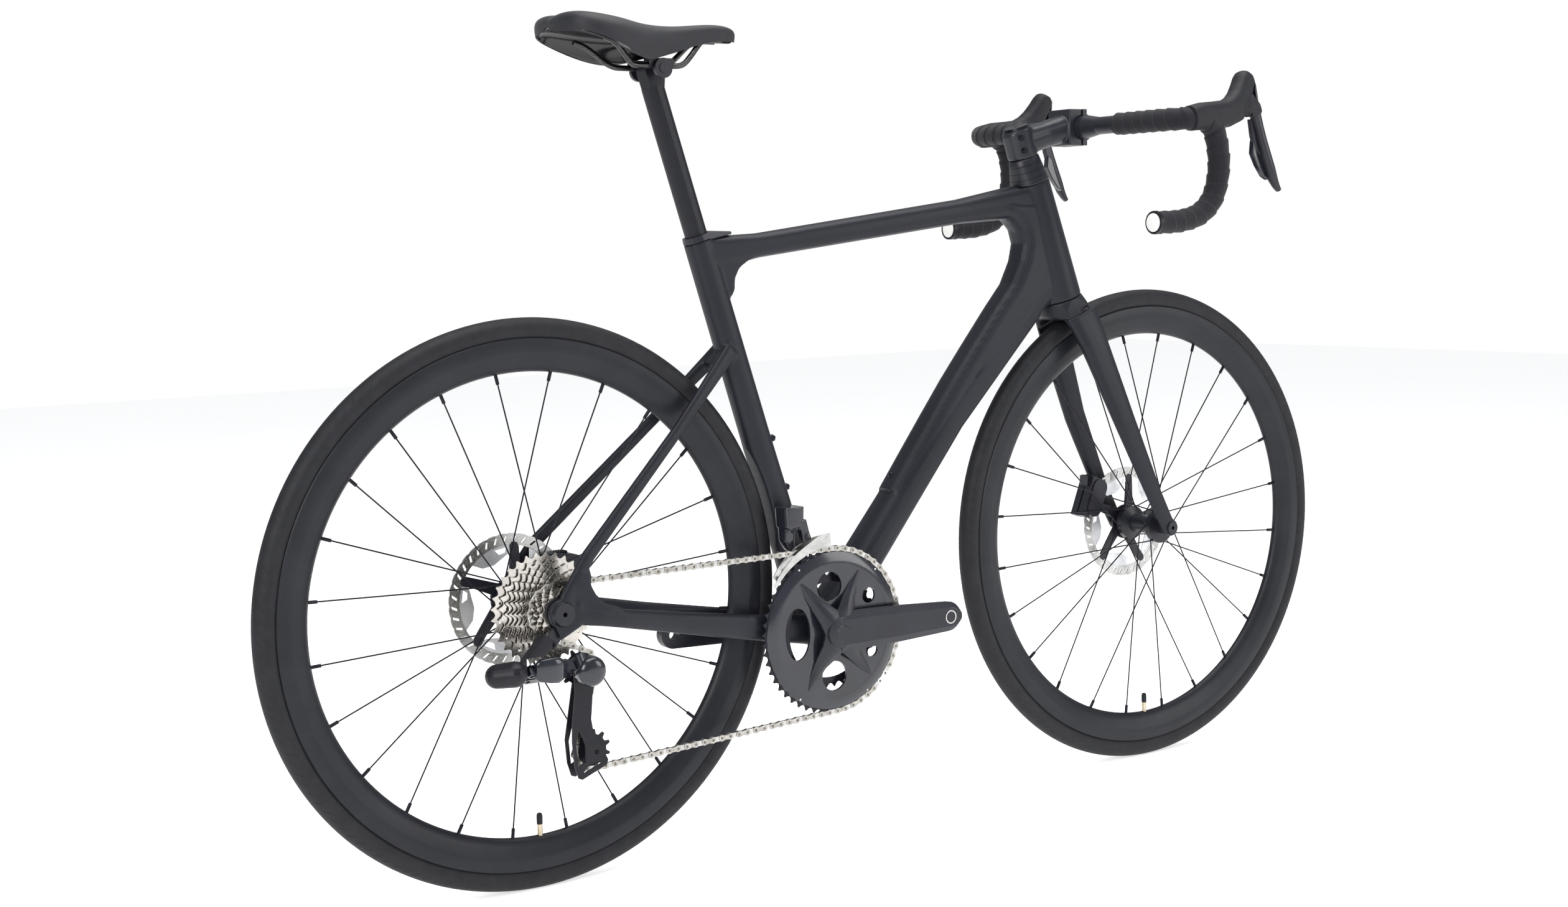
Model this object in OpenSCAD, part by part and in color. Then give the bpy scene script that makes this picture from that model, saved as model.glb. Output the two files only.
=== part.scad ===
// Road bicycle with drop bars, disc brakes and a two by twelve drivetrain.
// Millimetres. +X points forward, +Y to the rider's left, +Z up.
// The origin is on the ground, midway between the two wheels.

/* [Wheels] */
// Distance between the wheel axles
wheelbase = 992; // [970:1:1040]
// Outside radius of the tyres
wheel_r = 340; // [336:1:344]
// Width of the tyres
tyre_w = 28; // [25:1:30]
// Thickness of the tyre casing
tyre_wall = 2.2; // [1.6:0.2:3]
// Depth of the rims from bead edge to nose
rim_depth = 40; // [28:1:60]
// Widest part of the rims
rim_w = 27; // [24:0.5:30]
// Thickness of the rim walls
rim_wall = 2.2; // [1.6:0.1:3]
// Spokes in each wheel
spoke_count = 24; // [20:4:28]
// Radius of a spoke
spoke_r = 0.9; // [0.7:0.1:1.1]
// Outside radius of the disc rotors
rotor_r = 80; // [70:10:80]
// Thickness of the disc rotors
rotor_t = 1.8; // [1.6:0.1:2]

/* [Frame] */
// Height of the bottom bracket below the axles
bb_drop = 74; // [66:1:80]
// Distance from the bottom bracket to the rear axle
chainstay_len = 407; // [404:1:420]
// Height of the head tube top above the bottom bracket
stack = 567; // [540:1:600]
// Length of the head tube
head_len = 168; // [150:1:200]
// Angle of the steering axis from level
head_angle = 72.7; // [71:0.1:74]
// Offset of the front axle ahead of the steering axis
fork_rake = 51.5; // [43:0.5:55]
// Angle of the seat tube from level
seat_angle = 72.7; // [72:0.1:74]
// Height of the seat tube top above the bottom bracket
seat_top = 498; // [470:1:520]
// Height above the bottom bracket where the seatstays join
stay_top = 352; // [330:1:380]
// Depth of the top tube
top_tube_d = 31; // [28:1:36]
// Depth of the down tube
down_tube_d = 46; // [40:1:52]
// Bond line left between glued tubes
bond = 0.06; // [0.05:0.01:0.2]
// Distance between the rear dropouts
rear_space = 142; // [135:1:148]
// Distance between the fork tips
front_space = 100; // [100:1:110]
// Radius of the through axles
axle_r = 6; // [5:0.5:7.5]
// Running clearance round axles and bearings
run_gap = 0.06; // [0.03:0.01:0.09]

/* [Cockpit] */
// Height of the headset spacer stack
spacer_h = 36; // [20:1:40]
// Length of the stem
stem_len = 98; // [80:1:120]
// Rise of the bar clamp above the stem clamp
stem_rise = 22; // [10:1:30]
// Distance between the drops
bar_w = 424; // [380:2:460]
// Forward reach of the handlebar
bar_reach = 68; // [60:1:80]
// Height from the tops to the ends of the drops
bar_drop = 135; // [120:1:145]
// Radius of the handlebar tube
bar_r = 11.9; // [11:0.1:12.5]
// Radius of the handlebar at the stem clamp
clamp_r = 15.9; // [15:0.1:16]
// Thickness of the wrapped tape
tape_t = 3.6; // [2:0.2:5]

/* [Saddle] */
// Length of the saddle
saddle_len = 259; // [240:1:280]
// Width of the saddle
saddle_w = 142; // [130:1:160]
// Height of the saddle top above the bottom bracket
saddle_h = 762; // [735:1:790]
// Depth of the seatpost section
post_d = 28; // [25:0.5:31]
// Width of the seatpost section
post_w = 22; // [20:0.5:24]
// Sliding clearance round the seatpost
post_gap = 0.4; // [0.3:0.05:0.8]

/* [Drivetrain] */
// Length of the crank arms
crank_len = 170; // [165:2.5:175]
// Teeth on the large chainring
ring_big = 52; // [50:1:54]
// Teeth on the small chainring
ring_small = 36; // [34:1:39]
// Teeth on the sprocket that the chain rests on
chain_cog = 4; // [4:1:4]
// Spacing of the sprockets
cog_pitch = 3.5; // [3.4:0.05:3.6]
// Thickness of a sprocket
cog_t = 1.4; // [1.3:0.05:1.5]
// Width of the chain
chain_w = 5; // [4.8:0.05:5.1]
// Distance of the large chainring from the centre plane
ring_y = 48; // [46:0.5:49]

/* [Hidden] */
$fn = 48;
slab_t = 0.02;
chain_pitch = 12.7;

// Axle and bottom bracket places
rear = [-wheelbase / 2, 0, wheel_r];
front = [wheelbase / 2, 0, wheel_r];
bb = [rear[0] + sqrt(chainstay_len * chainstay_len - bb_drop * bb_drop), 0, wheel_r - bb_drop];

// Steering axis: it passes fork_rake behind the front axle
steer_foot = [front[0] - fork_rake * sin(head_angle), 0, front[2] - fork_rake * cos(head_angle)];
head_top_z = bb[2] + stack;
head_bot_z = head_top_z - head_len * sin(head_angle);
function steer_x(z) = steer_foot[0] - (z - steer_foot[2]) / tan(head_angle);
function on_axis(s) = [steer_x(head_top_z) - s * cos(head_angle), 0, head_top_z + s * sin(head_angle)];
head_r_top = 27;
head_r_bot = 32;
crown_h = 17;
crown_sweep_r = 53;

// Seat tube axis: it passes through the bottom bracket
function seat_pt(h) = [bb[0] - h / tan(seat_angle), 0, bb[2] + h];
seat_tube_w = 31;
seat_tube_d = 36;
tyre_gap = 7;

// Bottom bracket shell, bearings and crank axle
shell_r = 26;
shell_half = 41;
cup_r = 21;
spindle_r = 12;

// Rear triangle
drop_t = 8;
stay_y = rear_space / 2 + drop_t / 2;

// Hubs
rotor_inset = 13;
flange_r = 21;
hub_bore = axle_r + run_gap;
freehub_r = 17;
cog_teeth = [11, 12, 13, 14, 15, 17, 19, 21, 23, 25, 28, 32];
cog_first_y = -(rear_space / 2 - 4.5);
function pitch_r(n) = chain_pitch / (2 * sin(180 / n));
function cog_y(i) = cog_first_y + i * cog_pitch;
tooth_h = 2.2;
cage_r = pitch_r(ring_big) + tooth_h + 2;
cage_top_z = bb[2] + cage_r + 16.5;

// Rims and tyres
rim_r = wheel_r - tyre_w * 0.84;
rim_nose_r = rim_r - rim_depth;
rim_well = 5.5;
nipple_len = 14;
nipple_r = 2.1;

// Chain path: chainring, sprocket, guide pulley, tension pulley
pulley_n = 11;
pulley_r = pitch_r(pulley_n);
guide = [rear[0] + 33, 0, rear[2] - 72];
tension = [rear[0] + 45, 0, rear[2] - 171];
chain_y = cog_y(chain_cog);

// Handlebar places
stem_s = spacer_h + 20;
stem_base = on_axis(stem_s);
bar_z = stem_base[2] + stem_rise;
bar_x = stem_base[0] + sqrt(stem_len * stem_len - stem_rise * stem_rise);
drop_y = bar_w / 2;
tape_r = bar_r + tape_t;
bar_gap = 0.2;
ear_h = clamp_r + 9;
lever_pivot = [bar_x + 132, 0, bar_z + 18];

// Seatpost head
post_len_in = 110;
post_top = seat_pt(saddle_h - 66);
clamp_c = [post_top[0] + 2, 0, post_top[2] + 8];
rail_y = 22;
rail_r = 3.6;
rail_z = clamp_c[2] + 4;
saddle_top_z = bb[2] + saddle_h;
saddle_nose_x = clamp_c[0] + 120;

// ---------------------------------------------------------------- helpers

function oval(a, b, e = 2.6, n = 16) = [for (i = [0 : n - 1])
    let (c = cos(i * 360 / n), s = sin(i * 360 / n))
    [a * sign(c) * pow(abs(c), 2 / e), b * sign(s) * pow(abs(s), 2 / e)]];

// One thin section: k = [x, y, z, heading, depth, width]
module slab(k) {
    translate([k[0], k[1], k[2]])
        rotate([0, 90 - k[3], 0])
            linear_extrude(slab_t, center = true)
                polygon(oval(k[4] / 2, k[5] / 2));
}

// The corners of one section in space
function section(k) = [for (p = oval(k[4] / 2, k[5] / 2))
    [k[0] + p[0] * sin(k[3]), k[1] + p[1], k[2] - p[0] * cos(k[3])]];

// Convex solid between two loops of corners
module span(a, b) {
    n = len(a);
    hull()
        polyhedron(
            points = concat(a, b),
            faces = concat(
                [[for (k = [0 : n - 1]) k], [for (k = [2 * n - 1 : -1 : n]) k]],
                [for (k = [0 : n - 1]) [k, n + k, n + (k + 1) % n, (k + 1) % n]]));
}

// Skin through sections, each pair split in n steps
module loft(rows, n = 3) {
    for (i = [0 : len(rows) - 2], j = [0 : n - 1])
        span(section(rows[i] * (1 - j / n) + rows[i + 1] * j / n),
            section(rows[i] * (1 - (j + 1) / n) + rows[i + 1] * (j + 1) / n));
}

module both_sides() {
    children();
    mirror([0, 1, 0]) children();
}

// Child drawn round +Z is laid along +Y with its base at p
module along_y(p) {
    translate(p) rotate([-90, 0, 0]) children();
}

// Outline in side view, t thick, centred on y
module plate(pts, y, t) {
    translate([0, y, 0])
        rotate([90, 0, 0])
            linear_extrude(t, center = true)
                polygon(pts);
}

module rod(p, q, r) {
    d = q - p;
    translate(p)
        rotate([0, acos(d[2] / norm(d)), atan2(d[1], d[0])])
            cylinder(h = norm(d), r = r);
}

// Child drawn round +Z is placed on the steering axis, s above the head tube top
module steer_at(s) {
    translate(on_axis(s)) rotate([0, head_angle - 90, 0]) children();
}

module disc(p, r, t) {
    along_y([p[0], p[1] - t / 2, p[2]]) cylinder(h = t, r = r);
}

function polar(r, a) = [r * cos(a), r * sin(a)];

// Toothed wheel outline with n teeth
function teeth(n, h = tooth_h) = [for (i = [0 : n - 1], k = [0 : 3])
    polar(pitch_r(n) + (k == 1 || k == 2 ? h : -3.2), (i + [0.22, 0.4, 0.6, 0.78][k]) * 360 / n)];

// Same section as the seatpost, grown by g
module post_body(h0, h1, g) {
    hull() {
        slab(concat(seat_pt(h0), [180 - seat_angle, post_d + 2 * g, post_w + 2 * g]));
        slab(concat(seat_pt(h1), [180 - seat_angle, post_d + 2 * g, post_w + 2 * g]));
    }
}

// ------------------------------------------------------------------ frame

module head_solid(g = 0) {
    steer_at(-head_len)
        cylinder(h = head_len, r1 = head_r_bot + g, r2 = head_r_top + g, $fn = 96);
}

module head_tube() {
    color("#26292d")
    steer_at(-head_len)
        difference() {
            cylinder(h = head_len, r1 = head_r_bot, r2 = head_r_top);
            translate([0, 0, -1]) cylinder(h = head_len + 2, r = 21);
            translate([0, 0, -1]) cylinder(h = 9, r = 26);
        }
}

module headset_bearings() {
    color("#8a8d90") {
        steer_at(-head_len)
            difference() {
                cylinder(h = 8, r = 26);
                translate([0, 0, -1]) cylinder(h = 10, r = 20 + run_gap);
            }
        steer_at(-7)
            difference() {
                cylinder(h = 7, r = 21);
                translate([0, 0, -1]) cylinder(h = 9, r = 14.3 + run_gap);
            }
    }
}

module seat_tube_solid(g = 0) {
    loft([
        concat(seat_pt(8), [180 - seat_angle, 44 + 2 * g, 44 + 2 * g]),
        concat(seat_pt(90), [180 - seat_angle, 42 + 2 * g, 36 + 2 * g]),
        concat(seat_pt(260), [180 - seat_angle, 38 + 2 * g, seat_tube_w + 2 * g]),
        concat(seat_pt(seat_top), [180 - seat_angle, seat_tube_d + 2 * g, seat_tube_w + 2 * g])]);
}

module wheel_cut() {
    along_y([rear[0], -30, rear[2]]) cylinder(h = 60, r = wheel_r + tyre_gap, $fn = 120);
}

module shell_cut() {
    along_y([bb[0], -60, bb[2]]) cylinder(h = 120, r = shell_r + bond, $fn = 96);
}

module seat_tube() {
    color("#24272b")
    difference() {
        seat_tube_solid();
        post_body(seat_top - post_len_in - 26, seat_top + 10, post_gap);
        wheel_cut();
        shell_cut();
    }
}

module top_tube() {
    a = seat_pt(seat_top - 17);
    b = on_axis(-23);
    h = atan2(b[2] - a[2], b[0] - a[0]);
    color("#24272b")
    difference() {
        loft([
            concat(a, [h, 44, 30]),
            concat(a * 0.85 + b * 0.15, [h, top_tube_d, 33]),
            concat(a * 0.25 + b * 0.75, [h, top_tube_d + 2, 37]),
            concat(b, [h, 50, 42])], 3);
        seat_tube_solid(bond);
        post_body(seat_top - 60, seat_top + 40, post_gap);
        head_solid(bond);
        steer_at(0) cylinder(h = 60, r = head_r_top + 6);
        steer_at(-60) cylinder(h = 90, r = head_r_top - 1);
    }
}

module down_tube() {
    a = bb + [12, 0, -8];
    m = a * 0.45 + on_axis(-head_len + 45) * 0.55 + [-6, 0, 10];
    b = on_axis(-head_len + 42);
    h1 = atan2(m[2] - a[2], m[0] - a[0]);
    h2 = atan2(b[2] - m[2], b[0] - m[0]);
    color("#24272b")
    difference() {
        loft([
            concat(a, [h1, 58, 62]),
            concat(a * 0.8 + m * 0.2, [h1, down_tube_d + 3, 56]),
            concat(m, [(h1 + h2) / 2, down_tube_d, 48]),
            concat(m * 0.25 + b * 0.75, [h2, down_tube_d + 2, 44]),
            concat(b, [h2, 64, 42])], 3);
        head_solid(bond);
        shell_cut();
        seat_tube_solid(bond);
        wheel_cut();
        steer_at(-head_len - 40) cylinder(h = 40.3, r = crown_sweep_r);
    }
}

module bottom_bracket_shell() {
    color("#222529")
    along_y([bb[0], -shell_half, bb[2]])
        difference() {
            cylinder(h = 2 * shell_half, r = shell_r);
            translate([0, 0, -1]) cylinder(h = 2 * shell_half + 2, r = cup_r);
        }
}

module bottom_bracket_bearings() {
    color("#3a3c3f")
    both_sides()
        along_y([bb[0], shell_half - 12, bb[2]])
            difference() {
                union() {
                    cylinder(h = 12, r = cup_r);
                    translate([0, 0, 12]) cylinder(h = 2.5, r = cup_r + 2);
                }
                translate([0, 0, -1]) cylinder(h = 17, r = spindle_r + run_gap);
            }
}

// Right-hand stay pair, mirrored for the left
module chainstay_side() {
    c = bb + [-4, 0, 0];
    y_end = -stay_y;
    difference() {
        union() {
            loft([
                [rear[0] + 14, y_end, rear[2] - 3, 0, 24, drop_t],
                [rear[0] + 56, y_end + 3, rear[2] - 11, -10, 22, 14],
                [rear[0] + 86, y_end + 7, rear[2] - 17, -10, 23, 15],
                [rear[0] + 180, -48, rear[2] - 37, -11, 27, 16],
                [rear[0] + 280, -33, rear[2] - 57, -11, 33, 15],
                [c[0], -27, c[2], -11, 44, 20]], 2);
            disc([rear[0], y_end, rear[2]], 17, drop_t);
            plate([[rear[0] - 14, rear[2] - 6], [rear[0] - 4, rear[2] - 31], [rear[0] + 24, rear[2] - 17],
                [rear[0] + 24, rear[2] + 10]], y_end, drop_t);
        }
        wheel_cut_narrow();
        shell_cut();
        along_y([rear[0], y_end - 20, rear[2]]) cylinder(h = 40, r = axle_r + 0.05);
        down_tube_zone();
    }
}

module wheel_cut_narrow() {
    along_y([rear[0], -20, rear[2]]) cylinder(h = 40, r = wheel_r + tyre_gap, $fn = 120);
}

// Room kept for the seat tube and down tube feet
module down_tube_zone() {
    translate([bb[0] - 6, -60, bb[2] - 60]) cube([80, 120, 120]);
    seat_tube_solid(bond);
}

module chainstays() {
    color("#24272b") {
        difference() {
            chainstay_side();
            hanger_room();
        }
        mirror([0, 1, 0]) chainstay_side();
    }
}

module seatstay_side() {
    s = seat_pt(stay_top);
    y_end = -stay_y;
    difference() {
        loft([
            [rear[0] + 6, y_end, rear[2] + 16, 62, 17, drop_t],
            [rear[0] + 40, y_end + 6, rear[2] + 62, 54, 17, 11],
            [rear[0] + 184, -38, rear[2] + 195, 46, 15, 10],
            [s[0] - 62, -27, s[2] - 40, 46, 17, 10],
            [s[0] - 8, -12, s[2] + 12, 46, 22, 12]], 3);
        seat_tube_solid(bond);
        translate([rear[0], y_end - 20, rear[2]]) rotate([-90, 0, 0]) cylinder(h = 40, r = 17 + bond);
        wheel_cut_narrow();
        chainstay_block();
    }
}

// Keeps the seatstay foot off the chainstay
module chainstay_block() {
    hull() {
        slab([rear[0] + 14, -stay_y, rear[2] - 3, 0, 24 + 2 * bond, drop_t + 4]);
        slab([rear[0] + 56, -stay_y + 3, rear[2] - 11, -10, 22 + 2 * bond, 22]);
    }
    plate([[rear[0] - 14, rear[2] - 6], [rear[0] - 4, rear[2] - 31], [rear[0] + 24.1, rear[2] - 17],
        [rear[0] + 24.1, rear[2] + 10.2]], -stay_y, 30);
}

module seatstays() {
    color("#24272b") {
        both_sides() seatstay_side();
        seat_stay_bridge();
    }
}

// Short web that ties the two stays behind the seat tube
module seat_stay_bridge() {
    s = seat_pt(stay_top);
    difference() {
        hull() {
            slab([s[0] - 30, 0, s[2] - 10, 46, 16, 36]);
            slab([s[0] - 4, 0, s[2] + 16, 46, 18, 24]);
        }
        seat_tube_solid(bond);
        wheel_cut_narrow();
    }
}

module seatpost_clamp() {
    c = seat_pt(seat_top);
    d = seat_tube_d / 2;
    color("#17191b")
    difference() {
        hull() {
            slab(concat(seat_pt(seat_top + 0.1), [180 - seat_angle, seat_tube_d, seat_tube_w]));
            slab(concat(seat_pt(seat_top + 7), [180 - seat_angle, seat_tube_d - 1, seat_tube_w - 2]));
            translate([c[0] + d + 24, 0, c[2] + 9]) rotate([90, 0, 0]) cylinder(h = 18, r = 2, $fn = 16, center = true);
        }
        post_body(seat_top - 40, seat_top + 40, post_gap);
        seat_tube_solid(bond);
        top_tube_room();
    }
}

// Space of the top tube, grown by the bond line
module top_tube_room() {
    a = seat_pt(seat_top - 17);
    b = on_axis(-23);
    h = atan2(b[2] - a[2], b[0] - a[0]);
    loft([
        concat(a, [h, 44 + 2 * bond, 32]),
        concat(a * 0.85 + b * 0.15, [h, top_tube_d + 2 * bond, 35]),
        concat(a * 0.25 + b * 0.75, [h, top_tube_d + 2 + 2 * bond, 39])], 4);
}

module hanger_room() {
    disc([rear[0] - 6.5, -stay_y + 2, rear[2] - 23], 9, drop_t);
}

module derailleur_hanger() {
    y = -stay_y + 3.6;
    p = [rear[0] - 28, rear[2] - 30.5];
    color("#1b1c1e")
    difference() {
        union() {
            hull() {
                disc([rear[0] - 6.5, y, rear[2] - 23], 8.5, 4);
                disc([rear[0] - 14, y, rear[2] - 34], 7, 4);
            }
            hull() {
                disc([rear[0] - 14, y, rear[2] - 34], 7, 4);
                disc([p[0], y, p[1]], 8, 4);
            }
        }
        along_y([p[0], y - 10, p[1]]) cylinder(h = 20, r = 5);
        along_y([rear[0], y - 20, rear[2]]) cylinder(h = 40, r = 17.2);
        along_y([rear[0] - 14, y - 20, rear[2] - 34]) cylinder(h = 40, r = 4.65);
    }
}

// Raised round pads and dome bolts along the bottle bosses, and hanger bolt
module frame_bolts() {
    color("#101113") {
        for (k = [176, 240]) {
            p = seat_pt(k);
            e = seat_tube_d / 2 + 3;
            translate(p + [e * sin(seat_angle), 0, e * cos(seat_angle)])
                rotate([0, seat_angle, 0]) {
                    cylinder(h = 4, r = 4.5);
                    translate([0, 0, 4]) sphere(r = 3.2);
                }
        }
        translate([rear[0] - 14, -stay_y + 2.4, rear[2] - 34])
            rotate([90, 0, 0]) difference() {
                cylinder(h = 4, r = 4.6);
                translate([0, 0, 2]) cylinder(h = 4, r = 2.5, $fn = 6);
            }
    }
}

module rear_axle() {
    half = rear_space / 2 + drop_t;
    color("#111214")
    along_y([rear[0], -half - 1, rear[2]])
        difference() {
            union() {
                cylinder(h = 2 * half + 1, r = axle_r);
                translate([0, 0, -4]) cylinder(h = 5, r1 = 13, r2 = 15);
            }
            translate([0, 0, -5]) cylinder(h = 9, r = 3, $fn = 6);
        }
}

module caliper(c, turn) {
    translate(c)
        rotate([0, turn, 0])
            difference() {
                union() {
                    translate([-30, -13, -17]) cube([60, 26, 12]);
                    hull() {
                        translate([-17, 0, 0]) rotate([90, 0, 0]) cylinder(h = 30, r = 13, center = true, $fn = 32);
                        translate([13, 0, 0]) rotate([90, 0, 0]) cylinder(h = 30, r = 13, center = true, $fn = 32);
                    }
                    translate([24, 8, -2]) sphere(r = 5);
                }
                translate([-40, -1.5, -30]) cube([80, 3, 60]);
            }
}

// ------------------------------------------------------------------ brakes

rear_rotor_y = rear_space / 2 - rotor_inset;
front_rotor_y = front_space / 2 - rotor_inset;

module rear_caliper() {
    color("#17181a")
    caliper([rear[0] + rotor_r * 0.86, rear_rotor_y, rear[2] + rotor_r * 0.43 + 2], 8);
}

module front_caliper() {
    color("#17181a")
    difference() {
        caliper([front[0] - rotor_r * 0.84, front_rotor_y, front[2] + rotor_r * 0.5], 112);
        fork_blade_solid(-1, 0.4);
    }
}

// Disc: friction band, carrier arms and lockring
module rotor(c) {
    color("#9a9da0")
    along_y([c[0], c[1] - rotor_t / 2, c[2]])
        linear_extrude(rotor_t)
            difference() {
                union() {
                    difference() {
                        circle(r = rotor_r);
                        circle(r = rotor_r - 15);
                    }
                    circle(r = 25);
                    for (i = [0 : 4])
                        rotate(i * 72 + 15)
                            polygon([[18, -9], [rotor_r - 12, 8], [rotor_r - 12, 18], [22, 8]]);
                }
                circle(r = 17);
                for (i = [0 : 29])
                    rotate(i * 12) translate([rotor_r - 7.5, 0]) circle(r = 2.4);
            }
}

module front_rotor() {
    rotor([front[0], front_rotor_y, front[2]]);
}

module rear_rotor() {
    rotor([rear[0], rear_rotor_y, rear[2]]);
}

// ------------------------------------------------------------------ wheels

module tyre(c) {
    color("#1c1d1f")
    along_y(c)
        rotate_extrude($fn = 120)
            difference() {
                translate([wheel_r - tyre_w / 2, 0]) circle(r = tyre_w / 2);
                translate([wheel_r - tyre_w / 2, 0]) circle(r = tyre_w / 2 - tyre_wall);
                translate([rim_r - 20, -tyre_w]) square([20, 2 * tyre_w]);
            }
}

function rim_outline(g) = [
    [rim_r - g, rim_w / 2 - 2 - g], [rim_r - 6, rim_w / 2 - 0.8 - g], [rim_r - 16, rim_w / 2 - g],
    [rim_r - rim_depth * 0.62, rim_w / 2 - 1.6 - g], [rim_nose_r + 6 + g / 2, rim_w / 2 - 6 - g],
    [rim_nose_r + 1.4 + g, rim_w / 2 - 10 - g / 2], [rim_nose_r + g, 0]];

function mirrored(pts) = concat(pts, [for (i = [len(pts) - 2 : -1 : 0]) [pts[i][0], -pts[i][1]]]);

module rim(c) {
    color("#232427")
    along_y(c)
        difference() {
            rotate_extrude($fn = 120)
                difference() {
                    polygon(mirrored(rim_outline(0)));
                    difference() {
                        polygon(mirrored(rim_outline(rim_wall)));
                        translate([rim_r - rim_well - rim_wall, -rim_w]) square([30, 2 * rim_w]);
                    }
                    translate([rim_r - rim_well, -rim_w / 2 + 4.8]) square([30, rim_w - 9.6]);
                }
            for (i = [0 : spoke_count - 1])
                rotate((i + 0.5) * 360 / spoke_count)
                    translate([rim_nose_r - 4, 0, 0]) rotate([0, 90, 0]) cylinder(h = 12, r = nipple_r + 0.4);
        }
}

// Spoke i: side, hub point and rim point
function spoke_side(i) = i % 2 == 0 ? 1 : -1;
function spoke_hub(c, i, yl, yr) =
    let (lead = (floor(i / 2) % 2 == 0) ? 1 : -1, a = (i + 0.5) * 360 / spoke_count + lead * 58)
    [c[0] + flange_r * cos(a), (spoke_side(i) > 0 ? yl : yr) + lead * 1.6, c[2] - flange_r * sin(a)];
function spoke_rim(c, i, r) =
    let (a = (i + 0.5) * 360 / spoke_count)
    [c[0] + r * cos(a), c[1], c[2] - r * sin(a)];

module spokes(c, yl, yr) {
    color("#15161a") {
        for (i = [0 : spoke_count - 1]) {
            h = spoke_hub(c, i, yl, yr);
            e = spoke_rim(c, i, rim_nose_r + 3);
            u = (h - e) / norm(h - e);
            rod(h, e, spoke_r);
            rod(e, e + u * nipple_len, nipple_r);
        }
        a = -90 - 180 / spoke_count;
        v = [c[0] + rim_nose_r * cos(a + 7.5), 0, c[2] + rim_nose_r * sin(a + 7.5)];
        w = (c - v) / norm(c - v);
        rod(v + w * 0.1, v + w * 24, 3);
    }
}

// Hub shell round the axle; the ends reach y0 and y1
module hub(c, y0, y1, yl, yr, rotor_y) {
    color("#17181a")
    difference() {
        along_y([c[0], 0, c[2]])
            difference() {
                rotate_extrude()
                    polygon([[hub_bore, y0], [10, y0], [10, yr - 4], [flange_r + 3, yr - 4], [flange_r + 3, yr + 4],
                        [13, yr + 9], [13, yl - 9], [flange_r + 3, yl - 4], [flange_r + 3, yl + 4],
                        [17, yl + 4], [17, rotor_y + rotor_t / 2 + 1], [10, rotor_y + 3], [10, y1],
                        [hub_bore, y1]]);
            }
        for (i = [0 : spoke_count - 1]) {
            h = spoke_hub(c, i, yl, yr);
            e = spoke_rim(c, i, rim_nose_r);
            u = (e - h) / norm(e - h);
            rod(h - u * 0.3, h + u * 14, spoke_r + 0.3);
        }
    }
}

front_flange_l = front_rotor_y - 13;
front_flange_r = -front_space / 2 + 16;
rear_flange_l = rear_rotor_y - 13;
rear_flange_r = cog_y(11) + 10;

module front_tyre() {
    tyre(front);
}

module rear_tyre() {
    tyre(rear);
}

module front_rim() {
    rim(front);
}

module rear_rim() {
    rim(rear);
}

module front_spokes() {
    spokes(front, front_flange_l, front_flange_r);
}

module rear_spokes() {
    spokes(rear, rear_flange_l, rear_flange_r);
}

module front_hub() {
    hub(front, -front_space / 2 + 0.2, front_space / 2 - 0.2, front_flange_l, front_flange_r, front_rotor_y);
}

module rear_hub() {
    hub(rear, cog_y(11) + 4.6, rear_space / 2 - 0.2, rear_flange_l, rear_flange_r, rear_rotor_y);
}

module front_axle() {
    half = front_space / 2 + 10;
    color("#111214")
    along_y([front[0], -half - 2, front[2]])
        difference() {
            union() {
                cylinder(h = 2 * half, r = axle_r);
                cylinder(h = 1.95, r = 9);
            }
            translate([0, 0, -1]) cylinder(h = 7, r = 3, $fn = 6);
        }
}

// -------------------------------------------------------------- drivetrain

module freehub() {
    color("#3c3e41")
    along_y([rear[0], cog_y(0) - 3, rear[2]])
        difference() {
            union() {
                cylinder(h = cog_y(11) - cog_y(0) + 7, r = freehub_r);
                translate([0, 0, -1.2]) cylinder(h = 1.2, r = 10);
            }
            translate([0, 0, -3]) cylinder(h = 60, r = hub_bore);
        }
}

module cassette() {
    color("#b9b3aa")
    difference() {
        union() {
            for (i = [0 : 11])
                along_y([rear[0], cog_y(i) - cog_t / 2, rear[2]])
                    linear_extrude(cog_t) polygon(teeth(cog_teeth[i], 2));
            along_y([rear[0], cog_y(0) - 2.5, rear[2]])
                cylinder(h = cog_y(11) - cog_y(0) + 3.2, r = freehub_r + 1.2);
        }
        along_y([rear[0], cog_y(0) - 8, rear[2]]) cylinder(h = 60, r = freehub_r);
    }
}

module chainrings() {
    color("#1d1f22") {
        along_y([bb[0], -ring_y - 1, bb[2]])
            difference() {
                linear_extrude(2) polygon(teeth(ring_big));
                translate([0, 0, -1]) cylinder(h = 4, r = pitch_r(ring_big) - 30);
            }
        along_y([bb[0], -ring_y + 6, bb[2]])
            difference() {
                linear_extrude(2) polygon(teeth(ring_small));
                translate([0, 0, -1]) cylinder(h = 4, r = 54);
            }
        for (i = [0 : 3])
            along_y([bb[0] + 60 * cos(i * 90 + 40), -ring_y + 1, bb[2] + 60 * sin(i * 90 + 40)])
                cylinder(h = 5, r = 5);
    }
}

arm_y = -ring_y - 16.5;
pedal_y = 73.5;

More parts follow.
